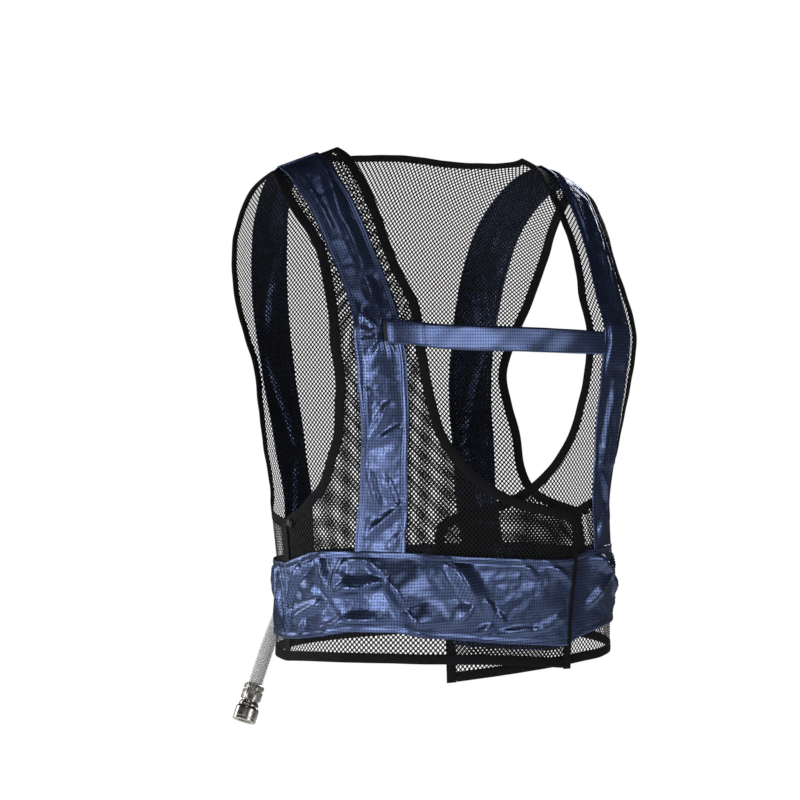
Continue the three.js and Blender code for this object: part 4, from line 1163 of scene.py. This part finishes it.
def waist_back(name, node, folds):
    share = seamed_shares(WAIST_NOMINAL)[:, None]
    across = np.linspace(0, 1, 190)[None, :]
    turn = SIDE_SEAM_TURN * (2 * across - 1) + 0 * share
    down = WAIST_BACK[1] + (WAIST_BACK[0] - WAIST_BACK[1]) * share + 0 * turn
    sewn = band_sewn(share, WAIST_NOMINAL)
    seam = np.maximum(1 - ease(across, 0, 0.02), ease(across, 0.98, 1))
    rise = band_rise(name, folds, down, turn, WAIST_DEGREE)
    rise = np.maximum(rise, DEEPEST_DIP) * (1 - WAIST_FLAT * sewn) * (1 - seam)
    lift = BAND_LIFT + BAND_CLOTH / 2 + hem_rise(share, WAIST_NOMINAL) + 0 * down
    return cloth_grid(name, node, BACK, down, turn, lift, np.maximum(sewn, seam), rise)


CRUMPLE_FRAMES = 20
SHAKE = 0.12
SPARE_CLOTH = 0.008
CLOTH = {
    "quality": 5, "mass": 0.2, "tension_stiffness": 12, "compression_stiffness": 12,
    "shear_stiffness": 4, "bending_stiffness": 0.25, "air_damping": 2, "use_pressure": True,
    "uniform_pressure_force": 0.5, "shrink_min": -SPARE_CLOTH, "vertex_group_mass": "held",
}

# Most that the simulation may move a point, in mm
CAP_IN, CAP_OUT, CAP_ASIDE = 0.5, 3.5, 2.0


def crumple(bands):
    """Cloth simulation of the spare fabric between the sewn edges, applied to the meshes."""
    random = np.random.default_rng(7)
    for band in bands:
        piece = band["piece"]
        group = piece.vertex_groups.new(name="held")
        for i, weight in enumerate(band["held"].ravel().tolist()):
            group.add([i], weight, "REPLACE")
        shaken = random.normal(0, SHAKE, band["held"].shape) * (1 - band["held"])
        set_points(piece, band["points"] + band["out"] * shaken[..., None])
        cloth = piece.modifiers.new("cloth", "CLOTH")
        for key, value in CLOTH.items():
            setattr(cloth.settings, key, value)
        cloth.settings.effector_weights.gravity = 0
        cloth.collision_settings.use_collision = False
        cloth.collision_settings.use_self_collision = False
    for number in range(1, CRUMPLE_FRAMES + 1):
        bpy.context.scene.frame_set(number)
    depsgraph = bpy.context.evaluated_depsgraph_get()
    for band in bands:
        piece = band["piece"]
        result = np.zeros(band["points"].size)
        piece.evaluated_get(depsgraph).data.vertices.foreach_get("co", result)
        moved = result.reshape(band["points"].shape) / MM - band["points"]
        out = (moved * band["out"]).sum(-1, keepdims=True)
        aside = moved - out * band["out"]
        size = np.linalg.norm(aside, axis=-1, keepdims=True)
        aside = aside * np.minimum(1, CAP_ASIDE / np.maximum(size, 1e-6))
        band["points"] = band["points"] + band["out"] * np.clip(out, -CAP_IN, CAP_OUT) + aside
        piece.modifiers.clear()
        piece.vertex_groups.clear()
        set_points(piece, band["points"])
    bpy.context.scene.frame_set(1)


def set_points(piece, points):
    piece.data.vertices.foreach_set("co", (np.asarray(points) * MM).ravel())
    piece.data.update()


def thicken(piece, thickness):
    solid = piece.modifiers.new("thickness", "SOLIDIFY")
    solid.thickness = thickness * MM
    solid.offset = 0
    apply_modifiers(piece)


STRAP_CLOTH = 1.5
STRAP_CROSS = 0.125
STRAP_SEAMS = (0.12, 0.88)
STRAP_SEAM_LIFT = 0.85

# Waves of the strap: rise, waves along and across it in radians
STRAP_SWAYS = ((0.5, 17, 2.5), (0.3, 41, -4))


def chest_strap():
    """Flat strap of two layers; its near end is folded under and stands on the gathered band."""
    start, stop = STRAP_LINE[0][0], STRAP_LINE[-1][0]
    upper, lift = column_curve(STRAP_LINE, 1), column_curve(STRAP_LINE, 2)
    share = np.linspace(0, 1, 13)[:, None]
    turn = np.linspace(start, stop, 130)[None, :] + 0 * share
    along = (turn - start) / (stop - start)
    down = upper(turn) + STRAP_WIDTH * (1 - share) + 0.5 * np.sin(9 * along)
    inset = np.minimum(share, 1 - share) * STRAP_WIDTH
    sway = sum(high * np.sin(waves * along + twist * share) for high, waves, twist in STRAP_SWAYS)
    free = ease(along, 0.1, 0.2) * ease(along, 0.98, 0.85)
    groove = 0.25 * (1 - ease(np.abs(inset - 2.6), 0, 1.2)) + 0.3 * (1 - ease(inset, 0, 0.8))
    end = 1.5 * ease(along, 0.03, 0.0)
    cross = 0.35 * (1 - ease(np.abs(along - STRAP_CROSS), 0, 0.009))
    rise = sway * free - groove + end - cross
    band = cloth_grid("strap", "strap_chest", FRONT, down, turn, lift(turn) + 0.8 + rise, 0)
    thicken(band["piece"], STRAP_CLOTH)
    return band


# Stitches

STITCH_PITCH = 3.1
STITCH_LONG = 2.3
STITCH_HALF = 0.26
STITCH_SINK = 0.15
STITCH_LIFT = BAND_CLOTH / 2 + 0.08


def grid_normals(points, like):
    across = np.gradient(points, axis=1)
    along = np.gradient(points, axis=0)
    normals = unit(np.cross(along, across))
    return normals * np.sign((normals * like).sum(-1, keepdims=True))


def seam_lines(band, axis, shares, lift=STITCH_LIFT):
    """Lines on a band's cloth at the given columns (axis 1) or rows (axis 0)."""
    normals = grid_normals(band["points"], band["out"])
    lines = []
    for index in shares:
        points = np.take(band["points"], index, axis=axis)
        out = np.take(normals, index, axis=axis)
        lines.append((points + out * lift, out))
    return lines


def grid_line(band, rows, columns, lift=STITCH_LIFT):
    """Line through a band's cloth at fractional rows and columns."""
    points = band["points"]
    normals = grid_normals(points, band["out"])
    i = np.clip(np.asarray(rows, float), 0, points.shape[0] - 1.001)
    j = np.clip(np.asarray(columns, float), 0, points.shape[1] - 1.001)
    a, b = i.astype(int), j.astype(int)
    s, t = (i - a)[:, None], (j - b)[:, None]

    def blend(grid):
        top = grid[a, b] * (1 - t) + grid[a, b + 1] * t
        low = grid[a + 1, b] * (1 - t) + grid[a + 1, b + 1] * t
        return top * (1 - s) + low * s

    out = unit(blend(normals))
    return blend(points) + out * lift, out


def stitching(name, lines, finish):
    """Rows of single stitches, each a small bead of thread with sunk ends."""
    places, faces, total = [], [], 0
    for points, normals in lines:
        way = way_along(points)
        count = max(1, int(way[-1] / STITCH_PITCH))
        centre = (np.arange(count) + 0.5) * way[-1] / count
        middle, out = line_at(centre, way, points), unit(line_at(centre, way, normals))
        start, stop = (line_at(centre + half, way, points) for half in (-STITCH_LONG / 2, STITCH_LONG / 2))
        across = unit(np.cross(out, stop - start))
        sunk = out * STITCH_SINK
        bead = np.stack([start - sunk, stop - sunk, middle + across * STITCH_HALF,
                         middle + out * STITCH_HALF, middle - across * STITCH_HALF,
                         middle - out * STITCH_HALF], 1)
        places.append(bead.reshape(-1, 3))
        first = total + 6 * np.arange(count)
        for k in range(4):
            near, far = 2 + k, 2 + (k + 1) % 4
            faces += np.stack([first, first + near, first + far], -1).tolist()
            faces += np.stack([first + 1, first + far, first + near], -1).tolist()
        total += 6 * count
    return new_object(name, np.concatenate(places), faces, finish)


def build_bands():
    bands = {}
    for word, hand, folds, gather in (("right", RIGHT, RIGHT_BAND_FOLDS, RIGHT_GATHER),
                                      ("left", LEFT, LEFT_BAND_FOLDS, LEFT_GATHER)):
        bands["front_" + word] = shoulder_band("shoulder_band_" + word, "band_shoulder_" + word,
                                               FRONT, hand, FRONT_BAND, folds, gather)
        bands["back_" + word] = shoulder_band("back_band_" + word, "band_back_" + word,
                                              BACK, hand, BACK_BAND, BACK_BAND_FOLDS)
    bands["waist_right"] = waist_front("waistband_right", "band_waist_right", RIGHT, RIGHT_WAIST_FOLDS)
    bands["waist_left"] = waist_front("waistband_left", "band_waist_left", LEFT, LEFT_WAIST_FOLDS)
    bands["waist_back"] = waist_back("waistband_back", "band_waist_back", BACK_WAIST_FOLDS)
    crumple(list(bands.values()))
    for band in bands.values():
        band["points"] = band["points"] + band["out"] * band["folds"]
        set_points(band["piece"], band["points"])
        thicken(band["piece"], BAND_CLOTH)
    bands["strap"] = chest_strap()
    return bands


def build_stitching(bands):
    seam = BAND_SEAM_ROWS.index(SEAM_IN)
    lines = []
    for word in ("front_right", "front_left", "back_right", "back_left"):
        lines += seam_lines(bands[word], 1, (seam, -1 - seam))
    for word in ("waist_right", "waist_left", "waist_back"):
        lines += seam_lines(bands[word], 0, (seam, -1 - seam))
    rows, columns = bands["waist_right"]["points"].shape[:2]
    left, right = ((SIDE_SEAM_TURN + turn) / (SIDE_SEAM_TURN + WAIST_END_TURN) * (columns - 1)
                   for turn in PATCH_TURNS)
    shares = seamed_shares(WAIST_NOMINAL)
    low, high = (np.interp(share, shares, np.arange(rows)) for share in PATCH_SHARES)
    steps = np.linspace(0, 1, 60)
    for row in (low, high):
        lines.append(grid_line(bands["waist_right"], row + 0 * steps, left + (right - left) * steps))
    for column in (left, right):
        lines.append(grid_line(bands["waist_right"], low + (high - low) * steps, column + 0 * steps))
    rows, columns = (count - 1 for count in bands["strap"]["points"].shape[:2])
    for share in STRAP_SEAMS:
        lines.append(grid_line(bands["strap"], rows * share + 0 * steps, columns * steps, STRAP_SEAM_LIFT))
    cross = STRAP_CROSS * columns + 0 * steps
    lines.append(grid_line(bands["strap"], rows * steps, cross, STRAP_SEAM_LIFT))
    return stitching("band_stitching", lines, "thread")


# Seams

SEAM_CLOTH = 0.5
SEAM_EDGE_SHARE = 0.75
NEAREST_LINE = 0.4

# Lift of a seam's strip over the body form, and the ways from the seam to its outer lines
SEAM_PLACES = {
    "net": (0.7, (3.0, 6.2)),
    "blue": (BAND_LIFT + BAND_CLOTH + 0.35, (1.4, 2.6)),
}


def seam_strip(name, node, lines, finish):
    """Strip of cloth over a seam, through lines of points side by side."""
    points = np.stack(lines, 1)
    across, along = way_along(points[0]), way_along(points[:, 0])
    place = np.stack(np.broadcast_arrays(across[None, :], along[:, None]), -1)
    thicken(new_object(name, points, grid_faces(*points.shape[:2]), finish, node, place), SEAM_CLOTH)


def middle_line(front, back):
    return [*front[::-1], (front[0] + back[0]) / 2, *back]


def side_seam(hand, downs, lift, reach):
    """Lines over a side seam, the seam itself between those of the front and of the back."""
    down = np.linspace(*downs, 60)
    sides = []
    for side in (FRONT, BACK):
        seam_way = arc_of(side, down, 0 * down + hand * 90.0)
        turns = [np.array([turn_of(side, d, w - hand * aside) for d, w in zip(down, seam_way)])
                 for aside in (NEAREST_LINE, *reach)]
        sides.append([cloth_point(side, down, turn, 0 * down + high)
                      for turn, high in zip(turns, (lift, lift, SEAM_EDGE_SHARE * lift))])
    return middle_line(*sides)


def shoulder_seam(hand, turns, lift, reach):
    """Lines over a shoulder seam, from the front over the ridge to the back."""
    turn = hand * np.linspace(*turns, 24)
    places = list(zip((NEAREST_LINE, *reach), (lift, lift, SEAM_EDGE_SHARE * lift)))
    sides = [[cloth_point(side, 0 * turn + down, turn, 0 * turn + high) for down, high in places]
             for side in (FRONT, BACK)]
    return middle_line(*sides)


# Seams: name, node, kind, span in ways down or turns, finish
SEAMS = (
    ("side_seam_", "net_front_", side_seam, (ARMHOLE_BOTTOM + 3, 520), "net"),
    ("shoulder_seam_", "net_front_", shoulder_seam, (28.6, 50.4), "net"),
    ("band_shoulder_seam_", "band_shoulder_", shoulder_seam, (34.2, 47.2), "blue"),
    ("band_side_seam_", "band_waist_", side_seam, (433.6, 502.4), "blue"),
)


def build_seams():
    for word, hand in HANDS:
        for kind, node, line, span, finish in SEAMS:
            lift, reach = SEAM_PLACES[finish]
            seam_strip(kind + word, node + word, line(hand, span, lift, reach), finish)


# Black bar at the near end of the strap: painted shadow, standing for the shade under the strap's folded
# end.
SHADOW_BAR_RADIUS = 1.5
SHADOW_BAR_LIFT = 0.75


def build_strap_end_shadow(strap):
    """Black bar across the near end of the strap: a painted shadow, a dark strip that stands for the shade
    under the strap's folded end.
    """
    steps = np.linspace(0.08, 0.92, 24)
    path, _ = grid_line(strap, (strap["points"].shape[0] - 1) * steps, 0 * steps, SHADOW_BAR_LIFT)
    tube("strap_bartack", path, SHADOW_BAR_RADIUS, 8, "black_thread")


# Fittings

HOSE_RADIUS = 7.0
LINER_RADIUS = 5.1
FITTING_GAP = 0.3
CUFF_LENGTH = 28.0
NUT_LENGTH = 17.0
NUT_FLATS = 17.0
BRAID_RADIUS = 5.9
BRAID_YARNS = 8
BRAID_PITCH = 24.0
YARN_RADIUS = 0.42
YARN_CROSSING = 0.2
STUD_TURN = 84.0
STUD_STAND = 0.2
SHARP_ANGLE = 28

# Profiles of the turned pieces: way along the axis, radius
CUFF_PROFILE = (
    (0, 0), (0, 7.6), (0.8, 8.6), (2.6, 9.8), (5, 10.4), (7, 10.5), (7.6, 9.9), (9.4, 9.9), (10, 10.5),
    (12.4, 10.5), (13, 9.9), (14.8, 9.9), (15.4, 10.5), (17.8, 10.5), (18.4, 9.9), (20.2, 9.9),
    (20.8, 10.4), (25, 10.2), (27, 9.0), (28, 7.4), (28, 0),
)
NUT_PROFILE = (
    (0, 0), (0, 7.9), (0.7, 8.9), (1.6, 9.8), (4.2, 9.8), (4.8, 9.2), (5.1, 8.3), (5.9, 8.3), (6.2, 9.2),
    (6.8, 9.8), (14.4, 9.8), (15.3, 8.9), (15.6, 7.9), (17, 7.9), (17, 0),
)
COUPLER_PROFILE = (
    (0, 0), (0, 8.0), (0.5, 8.8), (2.6, 9.6), (3.2, 9.6), (3.6, 9.2), (4.2, 9.2), (4.6, 9.8), (5.6, 10.4),
    (6.6, 11.1), (7.4, 11.2), (15.2, 11.2), (15.6, 10.9), (16.2, 10.9), (16.6, 11.2), (18.2, 11.2),
    (18.8, 10.8), (19, 10.2), (19, 7.3), (18.4, 6.6), (14, 6.5), (13.6, 7.0), (12.6, 7.0), (12.2, 6.5),
    (5, 6.5), (5, 0),
)
STUD_PROFILE = ((0, 0), (0, 4.0), (0.7, 4.0), (1.1, 3.7), (1.3, 3.3), (1.9, 3.2), (2.4, 2.8), (2.6, 2.0),
                (2.45, 1.2), (2.4, 0))


def around(angles, aside, over):
    """Directions at angles from aside towards over."""
    return np.cos(angles)[:, None] * aside + np.sin(angles)[:, None] * over


def path_frame(path):
    """Two directions square to a path at each of its points."""
    ahead = unit(np.gradient(path, axis=0))
    aside = unit(np.cross(ahead, (0, 1, 0)))
    return aside, np.cross(ahead, aside)


def lathe(name, node, profile, start, axis, finish, segments=64, flats=None):
    """Turned piece from (way along the axis, radius) pairs; flats cuts it to a hexagon."""
    axis = np.asarray(axis, float) / np.linalg.norm(axis)
    aside = np.cross(axis, (0, 0, 1) if abs(axis[2]) < 0.9 else (1, 0, 0))
    aside = aside / np.linalg.norm(aside)
    over = np.cross(axis, aside)
    angles = np.arange(segments) * 2 * math.pi / segments
    ways = np.asarray([row[0] for row in profile], float)
    radii = np.asarray([row[1] for row in profile], float)[:, None] + 0 * angles
    if flats:
        sector = math.pi / 3
        limit = flats / 2 / np.cos(np.mod(angles, sector) - sector / 2)
        radii = np.minimum(radii, limit)
    ring = np.asarray(start) + ways[:, None, None] * axis + radii[..., None] * around(angles, aside, over)
    core = ring[1:-1].reshape(-1, 3)
    points = np.concatenate([core, [np.asarray(start) + way * axis for way in (ways[0], ways[-1])]])
    faces = tube_faces(len(profile) - 2, segments, capped=False)
    first, last = len(core), len(core) + 1
    end = (len(profile) - 3) * segments
    for k in range(segments):
        n = (k + 1) % segments
        faces.append((first, n, k))
        faces.append((last, end + k, end + n))
    piece = new_object(name, points, faces, finish, node)
    piece.data.set_sharp_from_angle(angle=math.radians(SHARP_ANGLE))
    return piece


def tube(name, path, radius, corners, finish):
    """Round bar along a path of points in millimetres."""
    path = np.asarray(path, float)
    aside, over = path_frame(path)
    angles = np.arange(corners) * 2 * math.pi / corners
    ring = path[:, None] + radius * around(angles, aside[:, None], over[:, None])
    return new_object(name, ring, tube_faces(len(path), corners), finish)


def fine_route(steps):
    """Smooth points along the hose from its cuff to its nut."""
    route = np.asarray(HOSE_ROUTE)
    way = way_along(route)
    places = np.linspace(0, way[-1], steps)
    return np.stack([smooth_column(way, route[:, k])(places) for k in range(3)], -1), way[-1]


def build_hose():
    """Clear hose with a braid in its wall, its cuff at the vest and its fitting."""
    curve = bpy.data.curves.new("air_hose", "CURVE")
    curve.dimensions = "3D"
    curve.bevel_depth = HOSE_RADIUS * MM
    curve.bevel_resolution = 8
    curve.use_fill_caps = True
    path, length = fine_route(36)
    spline = curve.splines.new("POLY")
    spline.points.add(len(path) - 1)
    for point, place in zip(spline.points, path):
        point.co = (*(c * MM for c in place), 1)
    hose = add_piece("air_hose", curve, "clear", "hose")
    pieces = [tube("hose_liner", path, LINER_RADIUS, 24, "liner"), build_braid(length)]
    start, ahead_start, ahead_end = path[0], unit(path[1] - path[0]), unit(path[-1] - path[-2])
    lathe("hose_cuff_grip", "hose_cuff", CUFF_PROFILE, start - ahead_start * (FITTING_GAP + CUFF_LENGTH),
          ahead_start, "rubber")
    nut_start = path[-1] + ahead_end * FITTING_GAP
    coupler_start = nut_start + ahead_end * (NUT_LENGTH + FITTING_GAP)
    pieces.append(lathe("hose_nut_hex", "hose_nut", NUT_PROFILE, nut_start, ahead_end, "nickel", 96,
                        NUT_FLATS))
    pieces.append(lathe("quick_coupler", "coupler_body", COUPLER_PROFILE, coupler_start, ahead_end,
                        "nickel"))
    return hose


def build_braid(length):
    """Yarns that wind both ways in the hose's wall, over and under each other."""
    steps = 130
    path, _ = fine_route(steps)
    aside, over = path_frame(path)
    way = np.linspace(0, length, steps)
    corners = np.arange(4) * math.pi / 2
    places, faces, total = [], [], 0
    for sense in (-1, 1):
        for k in range(BRAID_YARNS):
            angle = 2 * math.pi * (k / BRAID_YARNS + sense * way / BRAID_PITCH)
            out = around(angle, aside, over)
            line = path + out * (BRAID_RADIUS + sense * YARN_CROSSING)
            side = unit(np.cross(out, np.gradient(line, axis=0)))
            ring = line[:, None] + YARN_RADIUS * around(corners, side[:, None], out[:, None])
            places.append(ring.reshape(-1, 3))
            faces += [tuple(c + total for c in face) for face in tube_faces(steps, 4)]
            total += steps * 4
    return new_object("hose_braid", np.concatenate(places), faces, "yarn")


def build_studs():
    for word, hand in HANDS:
        down, turn = ARMHOLE_BOTTOM + TAPE_WIDTH / 3, hand * STUD_TURN
        out = body_normal(FRONT, down, turn)
        start = body_point(FRONT, down, turn) + out * (TAPE_THICK / 2 + STUD_STAND)
        lathe("snap_stud_" + word, "stud_" + word, STUD_PROFILE, start, out, "plastic", 40)


def declare_cloth():
    """Goes over the outlines of the two fronts and of the back, with their tapes, and does nothing with
    them.
    """
    for word, outline, trim in (("right", front_outline(RIGHT), ("front_right", "arm_right")),
                                ("left", front_outline(LEFT), ("front_left", "arm_left")),
                                ("back", back_outline(), ("neck", "hem"))):
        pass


look_camera()
hose = build_hose()
studio()
tapes = build_tapes()
nets = build_nets()
bands = build_bands()
stitches = build_stitching(bands)
build_seams()
# Painted shadow: a black bar at the strap's near end.
build_strap_end_shadow(bands["strap"])
build_studs()
declare_cloth()
for node in ("patch_loop", "patch_hook"):
    bpy.data.objects[node].material_slots[0].material = FINISHES["patch"][0]
